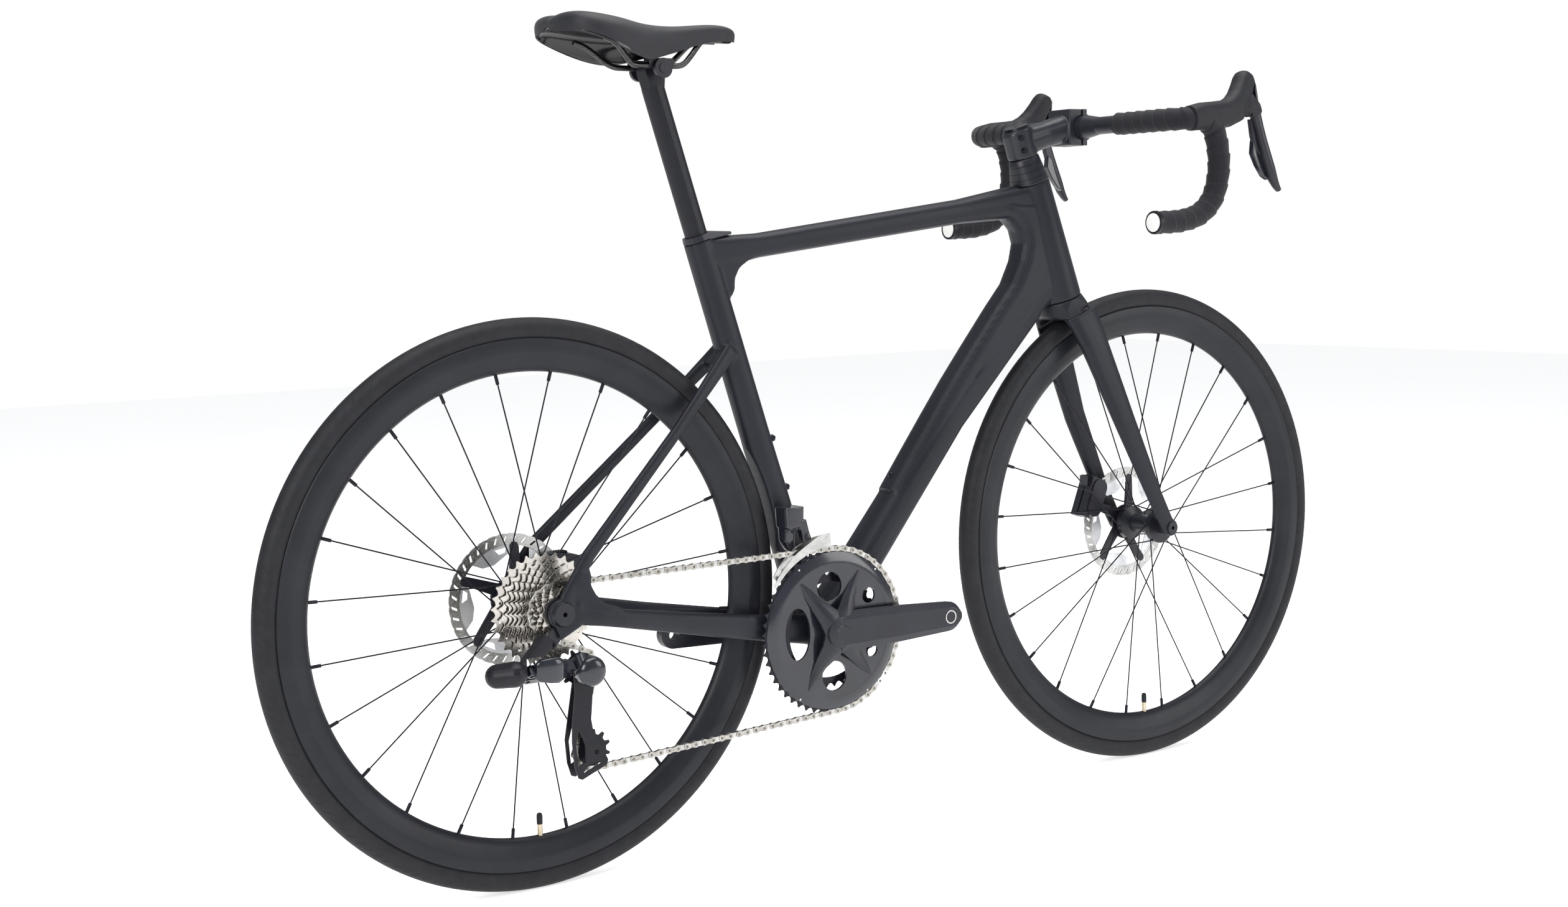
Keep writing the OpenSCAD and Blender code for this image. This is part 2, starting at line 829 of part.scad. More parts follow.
module crank_right() {
    color("#222427")
    difference() {
        union() {
            hull() {
                disc([bb[0], arm_y, bb[2]], 27, 13);
                disc([bb[0] + crank_len, -pedal_y + 6.5, bb[2]], 19, 13);
            }
            for (i = [0 : 3])
                translate([bb[0], arm_y + 10, bb[2]])
                    rotate([90, -(i * 90 + 40), 0])
                        linear_extrude(9, center = true)
                            polygon([[5, -16], [66, -7], [66, 7], [5, 16]]);
            along_y([bb[0], arm_y, bb[2]]) cylinder(h = 16, r = 20);
        }
        along_y([bb[0], arm_y, bb[2]]) cylinder(h = 100, r = spindle_r + bond);
        along_y([bb[0] + crank_len, -90, bb[2]]) cylinder(h = 60, r = 7.1);
        for (i = [0 : 3])
            along_y([bb[0] + 60 * cos(i * 90 + 40), -ring_y - 1, bb[2] + 60 * sin(i * 90 + 40)])
                cylinder(h = 12, r = 12);
    }
    color("#3a3b3d")
        along_y([bb[0], arm_y + bond, bb[2]]) cylinder(h = 63 - arm_y, r = spindle_r);
}

module crank_left() {
    color("#222427")
    difference() {
        hull() {
            disc([bb[0], 56.5, bb[2]], 22, 15);
            disc([bb[0] - crank_len, pedal_y - 6.5, bb[2]], 18, 13);
        }
        along_y([bb[0], 40, bb[2]]) cylinder(h = 60, r = spindle_r + bond);
        along_y([bb[0] - crank_len, 40, bb[2]]) cylinder(h = 60, r = 7.1);
    }
}

// Chain loop: circles in travel order with turn sense, +1 anticlockwise
loop = [
    [bb[0], bb[2], pitch_r(ring_big), 1, -ring_y],
    [rear[0], rear[2], pitch_r(cog_teeth[chain_cog]), 1, chain_y],
    [guide[0], guide[2], pulley_r, -1, chain_y],
    [tension[0], tension[2], pulley_r, 1, chain_y]];
function nxt(i) = loop[(i + 1) % 4];
function line_dir(i) =
    let (a = loop[i], b = nxt(i), d = [b[0] - a[0], b[1] - a[1]])
    atan2(d[1], d[0]) + asin((a[3] * a[2] - b[3] * b[2]) / norm(d));
function touch(c, f) = [c[0] + c[3] * c[2] * sin(f), c[1] - c[3] * c[2] * cos(f)];
function line_len(i) = norm(touch(nxt(i), line_dir(i)) - touch(loop[i], line_dir(i)));
function turn(i) = let (d = (line_dir(i) - line_dir((i + 3) % 4)) * loop[i][3]) d - 360 * floor(d / 360);
function arc_len(i) = turn(i) * PI / 180 * loop[i][2];
part_len = [for (i = [0 : 3]) each [arc_len(i), line_len(i)]];
function start_of(k) = k == 0 ? 0 : start_of(k - 1) + part_len[k - 1];
starts = [for (k = [0 : 8]) start_of(k)];
chain_links = 2 * round(starts[8] / chain_pitch / 2);
function pin_at(s) =
    let (k = max([for (j = [0 : 7]) if (starts[j] <= s) j]), i = floor(k / 2), u = s - starts[k],
        c = loop[i], f = k % 2 == 0 ? line_dir((i + 3) % 4) + c[3] * u / c[2] * 180 / PI : line_dir(i),
        p = touch(c, f), w = k % 2 == 0 ? 0 : u / part_len[k])
    [p[0] + (k % 2 == 0 ? 0 : u * cos(f)), c[4] * (1 - w) + nxt(i)[4] * w, p[1] + (k % 2 == 0 ? 0 : u * sin(f))];

chain_step = starts[8] / chain_links;
chain_half_h = 4;
function pin(i) = pin_at((i % chain_links) * chain_step);
// Corners of the chain band at one pin
function chain_section(i) =
    let (p = pin(i), d = pin(i + 1) - pin(i + chain_links - 1), u = chain_half_h * [-d[2], 0, d[0]] / norm(d), w = [0, chain_w / 2, 0])
    [p + u + w, p + u - w, p - u - w, p - u + w];

module chain() {
    color("#9c9b97")
    difference() {
        for (i = [0 : chain_links - 1])
            span(chain_section(i), chain_section(i + 1));
        disc([bb[0], -ring_y, bb[2]], pitch_r(ring_big) + tooth_h + 0.7, 2.8);
        disc([rear[0], chain_y, rear[2]], pitch_r(cog_teeth[chain_cog]) + 2.7, 2.4);
        disc([guide[0], chain_y, guide[2]], pulley_r + 2.7, 2.8);
        disc([tension[0], chain_y, tension[2]], pulley_r + 2.7, 2.8);
    }
}

// --------------------------------------------------------------- derailleurs

// Parallelogram pivots run along link_axis; the links lie along +X at rest
slant = -38;
link_len = 52;
link_a = [guide[0] - 78, chain_y - 27, guide[2] + 11];
link_w = 12;
link_space = 13;

module rear_derailleur_mount() {
    p = [rear[0] - 28, -stay_y + 2, rear[2] - 30.5];
    color("#202226")
    difference() {
        union() {
            hull() {
                translate(p + [0, -3, 0]) rotate([90, 0, 0]) cylinder(h = 10, r = 9.5, $fn = 32);
                translate(link_a + [-9, -2, 8]) rotate([90, 0, 0]) cylinder(h = 8, r = 8, $fn = 32);
            }
            hull() {
                translate(link_a + [-38, 8, -1]) sphere(r = 14, $fn = 24);
                translate(link_a + [-22, -4, 1]) sphere(r = 15, $fn = 24);
            }
            translate(p + [0, 4, 0]) rotate([90, 0, 0]) cylinder(h = 10, r = 4.8);
        }
        translate(link_a + [-1, 0, 0]) link_room();
    }
}

// Swept space of both links beside the mount
module link_room() {
    translate([-8, -40, -26]) cube([60, 90, 44]);
}

module link(o) {
    translate(link_a + o)
        rotate([slant, 0, 0])
            difference() {
                hull() {
                    cylinder(h = link_w, r = 5, center = true, $fn = 32);
                    translate([link_len, 0, 0]) cylinder(h = link_w, r = 5, center = true, $fn = 32);
                }
                cylinder(h = 20, r = 2.5, center = true);
                translate([link_len, 0, 0]) cylinder(h = 20, r = 2.5, center = true);
            }
}

module derailleur_outer_link() {
    color("#2a2c30") link([0, 0, 0]);
}

module derailleur_inner_link() {
    color("#17181a") link([0, link_space * cos(slant), link_space * sin(slant)]);
}

module derailleur_knuckle() {
    e = link_a + [link_len, 0, 0];
    color("#202226")
    difference() {
        hull() {
            translate(e + [17, 4, 0]) rotate([slant, 0, 0]) cylinder(h = 16, r = 11, center = true, $fn = 32);
            translate([guide[0], chain_y - 14, guide[2]]) rotate([90, 0, 0]) cylinder(h = 8, r = 16, $fn = 32);
        }
        along_y([guide[0], chain_y - 14, guide[2]]) cylinder(h = 40, r = 34);
    }
}

module cage_plate(y, t) {
    hull() {
        disc([guide[0], y, guide[2]], 13, t);
        disc([guide[0] + 1, y, guide[2] - 50], 11, t);
    }
    hull() {
        disc([guide[0] + 1, y, guide[2] - 50], 11, t);
        disc([tension[0], y, tension[2]], 11, t);
    }
}

module derailleur_cage() {
    color("#161719") {
        difference() {
            union() {
                cage_plate(chain_y - 5.5, 2.5);
                cage_plate(chain_y + 5.5, 2);
            }
            along_y([guide[0], chain_y - 20, guide[2]]) cylinder(h = 40, r = 3 - run_gap);
            along_y([tension[0], chain_y - 20, tension[2]]) cylinder(h = 40, r = 3 - run_gap);
        }
        for (p = [guide, tension])
            along_y([p[0], chain_y - 6.75, p[2]]) cylinder(h = 13.25, r = 3 - run_gap);
        along_y([guide[0], chain_y - 13.8, guide[2]]) cylinder(h = 7.1, r = 9);
    }
}

module pulley(p) {
    color("#131415")
    along_y([p[0], chain_y - 1.1, p[2]])
        difference() {
            linear_extrude(2.2) polygon(teeth(pulley_n));
            translate([0, 0, -1]) cylinder(h = 5, r = 3);
        }
}

module guide_pulley() {
    pulley(guide);
}

module tension_pulley() {
    pulley(tension);
}

module front_derailleur_body() {
    c = seat_pt(132);
    color("#17181a")
    difference() {
        hull() {
            translate(c + [-24, -39, cage_top_z - c[2]]) cube([36, 19, 36]);
            translate(c + [-16, -43, cage_top_z - c[2] + 6]) cube([22, 4, 22]);
        }
        seat_tube_room();
    }
}

module seat_tube_room() {
    translate([bb[0] - 90, -20, bb[2]]) cube([120, 40, 300]);
}

// Outer and inner cage plates, bridged above the chain
module front_derailleur_cage() {
    color("#a7a8a8")
    along_y([bb[0], -ring_y - 7.5, bb[2]]) {
        arc_plate(cage_r, cage_r + 15, 1.4, 136);
        translate([0, 0, 14]) arc_plate(cage_r - 6, cage_r + 15, 1.4, 136);
        arc_plate(cage_r + 12.5, cage_r + 15, 15.4, 112);
    }
}

// Slice of a ring from just ahead of the top of the chainring to angle a1 behind it
module arc_plate(r0, r1, t, a1) {
    linear_extrude(t)
        polygon(concat([for (a = [88 : 6 : a1]) polar(r1, -a)], [for (a = [a1 : -6 : 88]) polar(r0, -a)]));
}

// ------------------------------------------------------------------ cockpit

module fork_steerer() {
    color("#26292d") {
        difference() {
            union() {
                steer_at(-head_len) cylinder(h = 20, r1 = 20, r2 = 19);
                steer_at(-head_len + 20) cylinder(h = head_len - 27, r1 = 19, r2 = 14.3);
                steer_at(-7.01) cylinder(h = stem_s + 22, r = 14.3);
                hull() {
                    steer_at(-head_len - 0.3 - crown_h) cylinder(h = crown_h, r = head_r_bot);
                    crown_block();
                }
            }
            steer_at(-head_len - 40) cylinder(h = head_len + stem_s + 90, r = 11);
            along_y([front[0], -80, front[2]]) cylinder(h = 160, r = wheel_r + 6, $fn = 120);
        }
    }
}

module crown_block() {
    p = on_axis(-head_len - crown_h - 1);
    translate(p + [4, 0, -2]) rotate([0, head_angle - 90, 0]) cube([42, 62, 12], center = true);
}

// Fork blade on side s (-1 right, +1 left mirrored), grown by g
module fork_blade_solid(s, g = 0) {
    p = on_axis(-head_len - crown_h - 2);
    y_end = front_space / 2 + 5;
    mirror([0, s > 0 ? 0 : 1, 0])
        loft([
            [p[0] + 6, -31, p[2] - 2, -70, 56 + 2 * g, 20 + 2 * g],
            [p[0] + 22, -40, p[2] - 42, -67, 47 + 2 * g, 18 + 2 * g],
            [front[0] - 83, -51, front[2] + 160, -64, 36 + 2 * g, 15 + 2 * g],
            [front[0] - 30, -y_end, front[2] + 50, -64, 26 + 2 * g, 12 + 2 * g],
            [front[0] - 3, -y_end, front[2] + 2, -64, 24 + 2 * g, 10 + 2 * g]], 2);
}

module fork_blades() {
    y_end = front_space / 2 + 5;
    color("#24272b")
    difference() {
        union() {
            fork_blade_solid(1);
            fork_blade_solid(-1);
            both_sides() disc([front[0], y_end, front[2]], 12, 10);
        }
        hull() {
            steer_at(-head_len - 0.3 - crown_h) cylinder(h = crown_h + 1, r = head_r_bot + bond, $fn = 64);
            crown_block();
        }
        steer_at(-head_len - 0.3) cylinder(h = 80, r = 120);
        along_y([front[0], -80, front[2]]) cylinder(h = 160, r = axle_r + 0.05);
        along_y([front[0], -20 - tyre_w / 2, front[2]]) cylinder(h = 40 + tyre_w, r = wheel_r - 5);
        along_y([front[0], -22, front[2]]) cylinder(h = 44, r = wheel_r + 6, $fn = 120);
    }
}

module headset_spacers() {
    color("#1a1b1d")
    for (i = [0 : 4])
        steer_at(0.3 + i * spacer_h / 5)
            difference() {
                cylinder(h = spacer_h / 5 - 0.1, r = head_r_top - 0.8 * i);
                translate([0, 0, -1]) cylinder(h = spacer_h, r = 14.35);
            }
}

module stem() {
    h = atan2(stem_rise, bar_x - stem_base[0]);
    color("#1e2023")
    difference() {
        union() {
            steer_at(spacer_h + 0.3) cylinder(h = 40, r = 19);
            hull() {
                translate(stem_base + [6, 0, 1]) rotate([0, 90 - h, 0]) cylinder(h = 10, r = 17, $fn = 32);
                translate([bar_x - 24, 0, bar_z - 3]) rotate([0, 90 - h, 0]) cylinder(h = 4, r = 16, $fn = 32);
            }
            translate([bar_x - 24, -22, bar_z - ear_h]) cube([23, 44, 2 * ear_h]);
        }
        steer_at(0) cylinder(h = 140, r = 14.32);
        stem_side_bolts(3.55);
        along_y([bar_x, -40, bar_z]) cylinder(h = 80, r = clamp_r + 0.02);
        translate([bar_x - 1.2, -40, bar_z - 40]) cube([40, 80, 80]);
    }
}

module stem_faceplate() {
    color("#1e2023")
    difference() {
        union() {
            along_y([bar_x, -22, bar_z]) cylinder(h = 44, r = clamp_r + 4);
            translate([bar_x + 1.2, -22, bar_z - ear_h]) cube([7, 44, 2 * ear_h]);
        }
        along_y([bar_x, -40, bar_z]) cylinder(h = 80, r = clamp_r + 0.02);
        translate([bar_x - 40, -40, bar_z - 40]) cube([41.2, 80, 80]);
    }
}

module stem_bolts() {
    color("#2c2e31") {
        for (y = [-16, 16], z = [3.4 - ear_h, ear_h - 3.4])
            translate([bar_x + 8.2, y, bar_z + z]) rotate([0, 90, 0]) cylinder(h = 3, r = 2.9);
        steer_at(spacer_h + 40.3)
            difference() {
                cylinder(h = 3.5, r1 = 18.5, r2 = 17);
                translate([0, 0, 2]) cylinder(h = 4, r = 3, $fn = 6);
            }
        stem_side_bolts(3.5);
    }
}

// The two bolts that close the stem round the steerer
module stem_side_bolts(r) {
    for (s = [12, 30])
        steer_at(spacer_h + s)
            translate([-10, -14.6, 0]) rotate([90, 0, 0]) cylinder(h = 6, r = r);
}

// Side view path of one drop, from the bend at the tops to the end
function bend(i) = [bar_x + bar_reach * [0.18, 0.55, 0.86, 1, 0.96, 0.78, 0.44, 0, -0.4, -0.72][i],
    drop_y, bar_z + bar_drop * [0, -0.005, -0.1, -0.36, -0.6, -0.8, -0.93, -0.985, -0.998, -1][i]];
bar_pts = concat([[bar_x, drop_y - 42, bar_z], [bar_x + 3, drop_y - 18, bar_z], [bar_x + 10, drop_y - 4, bar_z]],
    [for (i = [1 : 9]) bend(i)]);

// Corners of the round section at point i of a path
function frame_y(t) = let (s = cross([0, 1, 0.001], t)) s / norm(s);
function ring_at(pts, i, r, n) =
    let (a = pts[max(i - 1, 0)], b = pts[min(i + 1, len(pts) - 1)], t = (b - a) / norm(b - a),
        u = abs(t[1]) > 0.97 ? [0, 0, -1] : frame_y(t), v = cross(t, u) / norm(cross(t, u)), w = cross(v, t))
    [for (k = [0 : n - 1]) pts[i] + r * (w * cos(k * 360 / n) + v * sin(k * 360 / n))];

module bent_tube(pts, r, n = 10) {
    for (i = [0 : len(pts) - 2])
        span(ring_at(pts, i, r, n), ring_at(pts, i + 1, r, n));
}

// Catmull-Rom smoothing of a point list
function smooth(p, n) = concat([for (i = [0 : len(p) - 2], j = [0 : n - 1])
    let (a = p[max(i - 1, 0)], b = p[i], c = p[i + 1], d = p[min(i + 2, len(p) - 1)], t = j / n)
    0.5 * (2 * b + (c - a) * t + (2 * a - 5 * b + 4 * c - d) * t * t + (3 * b - a - 3 * c + d) * t * t * t)],
    [p[len(p) - 1]]);
bar_path = smooth(bar_pts, 2);
// The tube path run a little past both ends, for boring the tape
tape_bore = concat([bar_path[0] - [0, 2, 0]], [for (i = [1 : len(bar_path) - 2]) bar_path[i]],
    [bar_path[len(bar_path) - 1] - [2, 0, 0]]);

module handlebar() {
    color("#1d1f21") {
        along_y([bar_x, -32, bar_z]) cylinder(h = 64, r = clamp_r);
        both_sides() {
            along_y([bar_x, 32, bar_z]) cylinder(h = 24, r1 = clamp_r, r2 = bar_r);
            along_y([bar_x, 56, bar_z]) cylinder(h = drop_y - 98.2, r = bar_r);
            bent_tube(bar_path, bar_r);
        }
    }
}

module bar_tape() {
    color("#1a1a1b")
    both_sides()
        difference() {
            union() {
                along_y([bar_x, 104, bar_z]) cylinder(h = drop_y - 145.8, r = tape_r);
                bent_tube(bar_path, tape_r);
            }
            along_y([bar_x, 90, bar_z]) cylinder(h = drop_y - 130, r = bar_r + bar_gap);
            bent_tube(tape_bore, bar_r + bar_gap);
        }
}

module bar_end_plugs() {
    e = bar_path[len(bar_path) - 1];
    color("#e6e6e6")
    both_sides()
        translate(e + [-0.1, 0, 0]) rotate([0, -90, 0]) cylinder(h = 4, r = tape_r - 0.5);
}

// Rubber covered lever body with its tall horn
module hood_shape() {
    y = drop_y;
    x = lever_pivot[0];
    z = lever_pivot[2];
    loft([
        [x - 84, y, z - 2, 0, 34, 31],
        [x - 56, y, z - 4, 8, 38, 33],
        [x - 30, y, z + 2, 25, 48, 33],
        [x - 8, y, z + 16, 55, 48, 31],
        [x - 2, y, z + 34, 75, 34, 26],
        [x - 2, y, z + 46, 80, 20, 18]], 2);
}

module lever_hoods() {
    x = lever_pivot[0];
    z = lever_pivot[2];
    color("#151617")
    both_sides()
        difference() {
            hood_shape();
            bent_tube(bar_path, tape_r + 0.3);
            along_y([x, drop_y - 30, z]) cylinder(h = 60, r = 10.5);
            translate([x, drop_y - 30, z - 60]) cube([60, 60, 70]);
            translate([x - 34, drop_y - 30, z - 80]) cube([60, 60, 66]);
        }
}

module lever_at(s) {
    mirror([0, s > 0 ? 0 : 1, 0]) {
        x = lever_pivot[0];
        y = drop_y;
        z = lever_pivot[2];
        difference() {
            union() {
                along_y([x, y - 8, z]) cylinder(h = 16, r = 9.5);
                hull() {
                    translate([x + 2, y, z]) rotate([90, 0, 0]) cylinder(h = 15, r = 8, center = true, $fn = 32);
                    translate([x + 21, y, z - 18]) rotate([90, 0, 0]) cylinder(h = 14, r = 7, center = true, $fn = 32);
                }
                hull() {
                    translate([x + 21, y, z - 18]) rotate([90, 0, 0]) cylinder(h = 14, r = 7, center = true, $fn = 32);
                    translate([x + 29, y + 1, z - 60]) rotate([90, 0, 0]) cylinder(h = 12, r = 5, center = true, $fn = 32);
                }
                hull() {
                    translate([x + 29, y + 1, z - 60]) rotate([90, 0, 0]) cylinder(h = 12, r = 5, center = true, $fn = 32);
                    translate([x + 43, y + 3, z - 110]) rotate([90, 0, 0]) cylinder(h = 10, r = 4, center = true, $fn = 32);
                }
            }
            along_y([x, y - 20, z]) cylinder(h = 40, r = 3);
        }
        along_y([x, y - 10, z]) cylinder(h = 20, r = 3);
    }
}

module brake_lever_right() {
    color("#17181a") lever_at(-1);
}

module brake_lever_left() {
    color("#17181a") lever_at(1);
}

// Shift paddle behind the lever blade: k = 0 upper, 1 lower
module paddle(s, k) {
    x = lever_pivot[0];
    z = lever_pivot[2];
    mirror([0, s > 0 ? 0 : 1, 0])
        translate([x + 7 + 3 * k, drop_y, z - 33 - 27 * k])
            rotate([0, -12, 0])
                hull() {
                    translate([0, 0, 8]) rotate([90, 0, 0]) cylinder(h = 8, r = 4, center = true, $fn = 32);
                    translate([-6, 0, -10]) rotate([90, 0, 0]) cylinder(h = 8, r = 4, center = true, $fn = 32);
                    translate([4, 0, -10]) rotate([90, 0, 0]) cylinder(h = 8, r = 4, center = true, $fn = 32);
                }
}

module upshift_right() {
    color("#3a3c40") paddle(-1, 0);
}

module downshift_right() {
    color("#3a3c40") paddle(-1, 1);
}

module upshift_left() {
    color("#3a3c40") paddle(1, 0);
}

module downshift_left() {
    color("#3a3c40") paddle(1, 1);
}

// ------------------------------------------------------------------- saddle

module seatpost() {
    color("#1c1e21")
    difference() {
        union() {
            post_body(seat_top - post_len_in, saddle_h - 78, 0);
            hull() {
                slab(concat(seat_pt(saddle_h - 84), [180 - seat_angle, post_d - 1, post_w - 1]));
                translate(clamp_c) rotate([90, 0, 0]) cylinder(h = post_w, r = 14, center = true, $fn = 32);
            }
        }
        translate(clamp_c) rotate([90, 0, 0]) cylinder(h = 60, r = 6, center = true);
        translate(clamp_c + [-30, -30, 2]) cube([60, 60, 20]);
    }
}

module saddle_clamp() {
    color("#1a1b1d")
    difference() {
        union() {
            translate(clamp_c) rotate([90, 0, 0]) cylinder(h = 64, r = 6 - run_gap, center = true);
            both_sides()
                translate([clamp_c[0], rail_y, clamp_c[2]]) {
                    translate([0, 9, 0]) rotate([90, 0, 0]) cylinder(h = 5, r = 12);
                    translate([-17, -9, 0]) cube([34, 13, 12]);
                }
        }
        both_sides()
            translate([-300, rail_y, rail_z]) rotate([0, 90, 0]) cylinder(h = 600, r = rail_r + 0.05, center = true);
        translate(clamp_c + [0, -11.3, -14]) translate([-20, 0, 0]) cube([40, 22.6, 40]);
    }
}

module saddle() {
    x1 = saddle_nose_x;
    z = saddle_top_z;
    w = saddle_w;
    l = saddle_len;
    color("#161718") {
        loft([
            [x1 - l, 0, z - 12, 0, 16, w * 0.42],
            [x1 - l + 14, 0, z - 10, 0, 32, w * 0.86],
            [x1 - l + 48, 0, z - 18, 0, 40, w],
            [x1 - l + 84, 0, z - 20, 0, 38, w * 0.82],
            [x1 - l + 124, 0, z - 20, 0, 30, w * 0.5],
            [x1 - l + 190, 0, z - 18, 0, 26, w * 0.3],
            [x1 - 12, 0, z - 15, 0, 24, w * 0.25],
            [x1, 0, z - 16, 0, 12, w * 0.14]], 2);
        both_sides() {
            bent_tube(smooth([[x1 - l + 66, rail_y + 8, z - 32], [x1 - l + 76, rail_y + 3, z - 42],
                [clamp_c[0] - 46, rail_y, rail_z], [clamp_c[0] - 31, rail_y, rail_z],
                [clamp_c[0] + 31, rail_y, rail_z], [clamp_c[0] + 46, rail_y, rail_z],
                [clamp_c[0] + 68, rail_y - 6, rail_z + 8], [x1 - 34, 12, z - 26]], 2), rail_r, 12);
        }
    }
}

// --------------------------------------------------------------------- draw

head_tube();
top_tube();
seat_tube();
down_tube();
bottom_bracket_shell();
chainstays();
seatstays();
headset_bearings();
bottom_bracket_bearings();
derailleur_hanger();
rear_axle();
rear_caliper();
front_derailleur_body();
rear_derailleur_mount();
frame_bolts();
seatpost_clamp();
chain();
fork_steerer();
fork_blades();
headset_spacers();
stem();
stem_faceplate();
stem_bolts();
handlebar();
bar_tape();
bar_end_plugs();
lever_hoods();
front_caliper();
front_axle();
front_tyre();
front_rim();
front_spokes();
front_hub();
front_rotor();
rear_tyre();
rear_rim();
rear_spokes();
rear_hub();
rear_rotor();
cassette();
freehub();
crank_right();
chainrings();
crank_left();
brake_lever_right();
brake_lever_left();
upshift_right();
downshift_right();
upshift_left();
downshift_left();
derailleur_outer_link();
derailleur_inner_link();
derailleur_knuckle();
derailleur_cage();
guide_pulley();
tension_pulley();
front_derailleur_cage();
seatpost();
saddle_clamp();
saddle();
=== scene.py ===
"""Road bicycle: the looks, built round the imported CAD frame. Lengths in the helpers are millimetres."""
import math

import bmesh
import bpy
from mathutils import Matrix, Vector


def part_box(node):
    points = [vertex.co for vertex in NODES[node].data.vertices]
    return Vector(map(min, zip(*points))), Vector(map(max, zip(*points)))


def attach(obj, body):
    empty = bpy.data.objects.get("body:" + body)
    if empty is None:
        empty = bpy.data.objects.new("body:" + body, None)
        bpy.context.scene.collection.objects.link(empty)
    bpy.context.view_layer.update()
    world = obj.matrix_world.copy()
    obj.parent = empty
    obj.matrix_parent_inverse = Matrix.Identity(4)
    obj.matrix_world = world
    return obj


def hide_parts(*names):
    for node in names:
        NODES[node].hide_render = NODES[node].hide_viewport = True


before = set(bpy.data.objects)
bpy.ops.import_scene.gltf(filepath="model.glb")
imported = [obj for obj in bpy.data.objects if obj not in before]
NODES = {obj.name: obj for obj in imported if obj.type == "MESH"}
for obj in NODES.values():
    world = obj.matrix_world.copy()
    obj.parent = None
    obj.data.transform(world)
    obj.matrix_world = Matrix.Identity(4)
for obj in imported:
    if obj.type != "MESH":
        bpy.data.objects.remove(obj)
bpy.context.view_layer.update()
MM = 0.001


# ---------------------------------------------------------------- places

def low(node):
    return Vector(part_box(node)[0]) / MM


def high(node):
    return Vector(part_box(node)[1]) / MM


def mid(node):
    return (low(node) + high(node)) / 2


rear, front = mid("rear_rim"), mid("front_rim")
rear.y = front.y = 0
bb = mid("bottom_bracket_shell")
bb.y = 0
wheel_r = high("rear_tyre").z - rear.z
tyre_w = high("rear_tyre").y - low("rear_tyre").y
rim_r = wheel_r - 0.84 * tyre_w
rim_depth = 40
rim_w = high("rear_rim").y - low("rear_rim").y
guide, tension = mid("guide_pulley"), mid("tension_pulley")
bar_x = low("stem_faceplate").x - 1.2
bar_z = mid("stem_faceplate").z
ring_y, ring_small_y = 48, 41
chain_y = guide.y
tooth_h = 2.2
pitch = 12.7
big, small, chain_cog = 52, 36, 15
cog_teeth = [11, 12, 13, 14, 15, 17, 19, 21, 23, 25, 28, 32]
cog_pitch = 3.5
cog_y0 = chain_y - 4 * cog_pitch
crank_len = 170


def pitch_r(n):
    return pitch / (2 * math.sin(math.pi / n))


def polar(r, deg):
    return (r * math.cos(math.radians(deg)), r * math.sin(math.radians(deg)))


# ---------------------------------------------------------------- materials

def node(tree, kind, **values):
    n = tree.nodes.new(kind)
    for key, value in values.items():
        if hasattr(n, key):
            setattr(n, key, value)
        else:
            n.inputs[key.replace("_", " ")].default_value = value
    return n


def material(name, base, tint, rough, metal=0.0, scale=40, grain=0.08, bump=0.1, bump_scale=400,
        coat=0.0, spec=0.28, sheen=0.0, stretch=(1, 1, 1)):
    """A finish whose colour drifts from base to tint, with its own grain in roughness and bump."""
    m = bpy.data.materials.new(name)
    m.use_nodes = True
    t = m.node_tree
    shader = t.nodes["Principled BSDF"]
    place = node(t, "ShaderNodeTexCoord")
    mapping = node(t, "ShaderNodeMapping")
    mapping.inputs["Scale"].default_value = stretch
    t.links.new(place.outputs["Object"], mapping.inputs["Vector"])
    cloud = node(t, "ShaderNodeTexNoise", Scale=scale, Detail=6.0, Roughness=0.6)
    fine = node(t, "ShaderNodeTexNoise", Scale=bump_scale, Detail=4.0, Roughness=0.55)
    for n in (cloud, fine):
        t.links.new(mapping.outputs["Vector"], n.inputs["Vector"])
    ramp = node(t, "ShaderNodeValToRGB")
    ramp.color_ramp.elements[0].position, ramp.color_ramp.elements[1].position = 0.35, 0.68
    ramp.color_ramp.elements[0].color, ramp.color_ramp.elements[1].color = (*base, 1), (*tint, 1)
    t.links.new(cloud.outputs["Fac"], ramp.inputs["Fac"])
    t.links.new(ramp.outputs["Color"], shader.inputs["Base Color"])
    spread = node(t, "ShaderNodeMapRange", To_Min=max(rough - grain, 0.02), To_Max=min(rough + grain, 1))
    spread.inputs["From Min"].default_value, spread.inputs["From Max"].default_value = 0.3, 0.7
    t.links.new(fine.outputs["Fac"], spread.inputs["Value"])
    t.links.new(spread.outputs["Result"], shader.inputs["Roughness"])
    relief = node(t, "ShaderNodeBump", Strength=bump, Distance=0.0004)
    t.links.new(fine.outputs["Fac"], relief.inputs["Height"])
    t.links.new(relief.outputs["Normal"], shader.inputs["Normal"])
    shader.inputs["Metallic"].default_value = metal
    shader.inputs["Specular IOR Level"].default_value = spec
    shader.inputs["Coat Weight"].default_value = coat
    shader.inputs["Coat Roughness"].default_value = 0.12
    shader.inputs["Sheen Weight"].default_value = sheen
    shader.inputs["Sheen Roughness"].default_value = 0.5
    return m


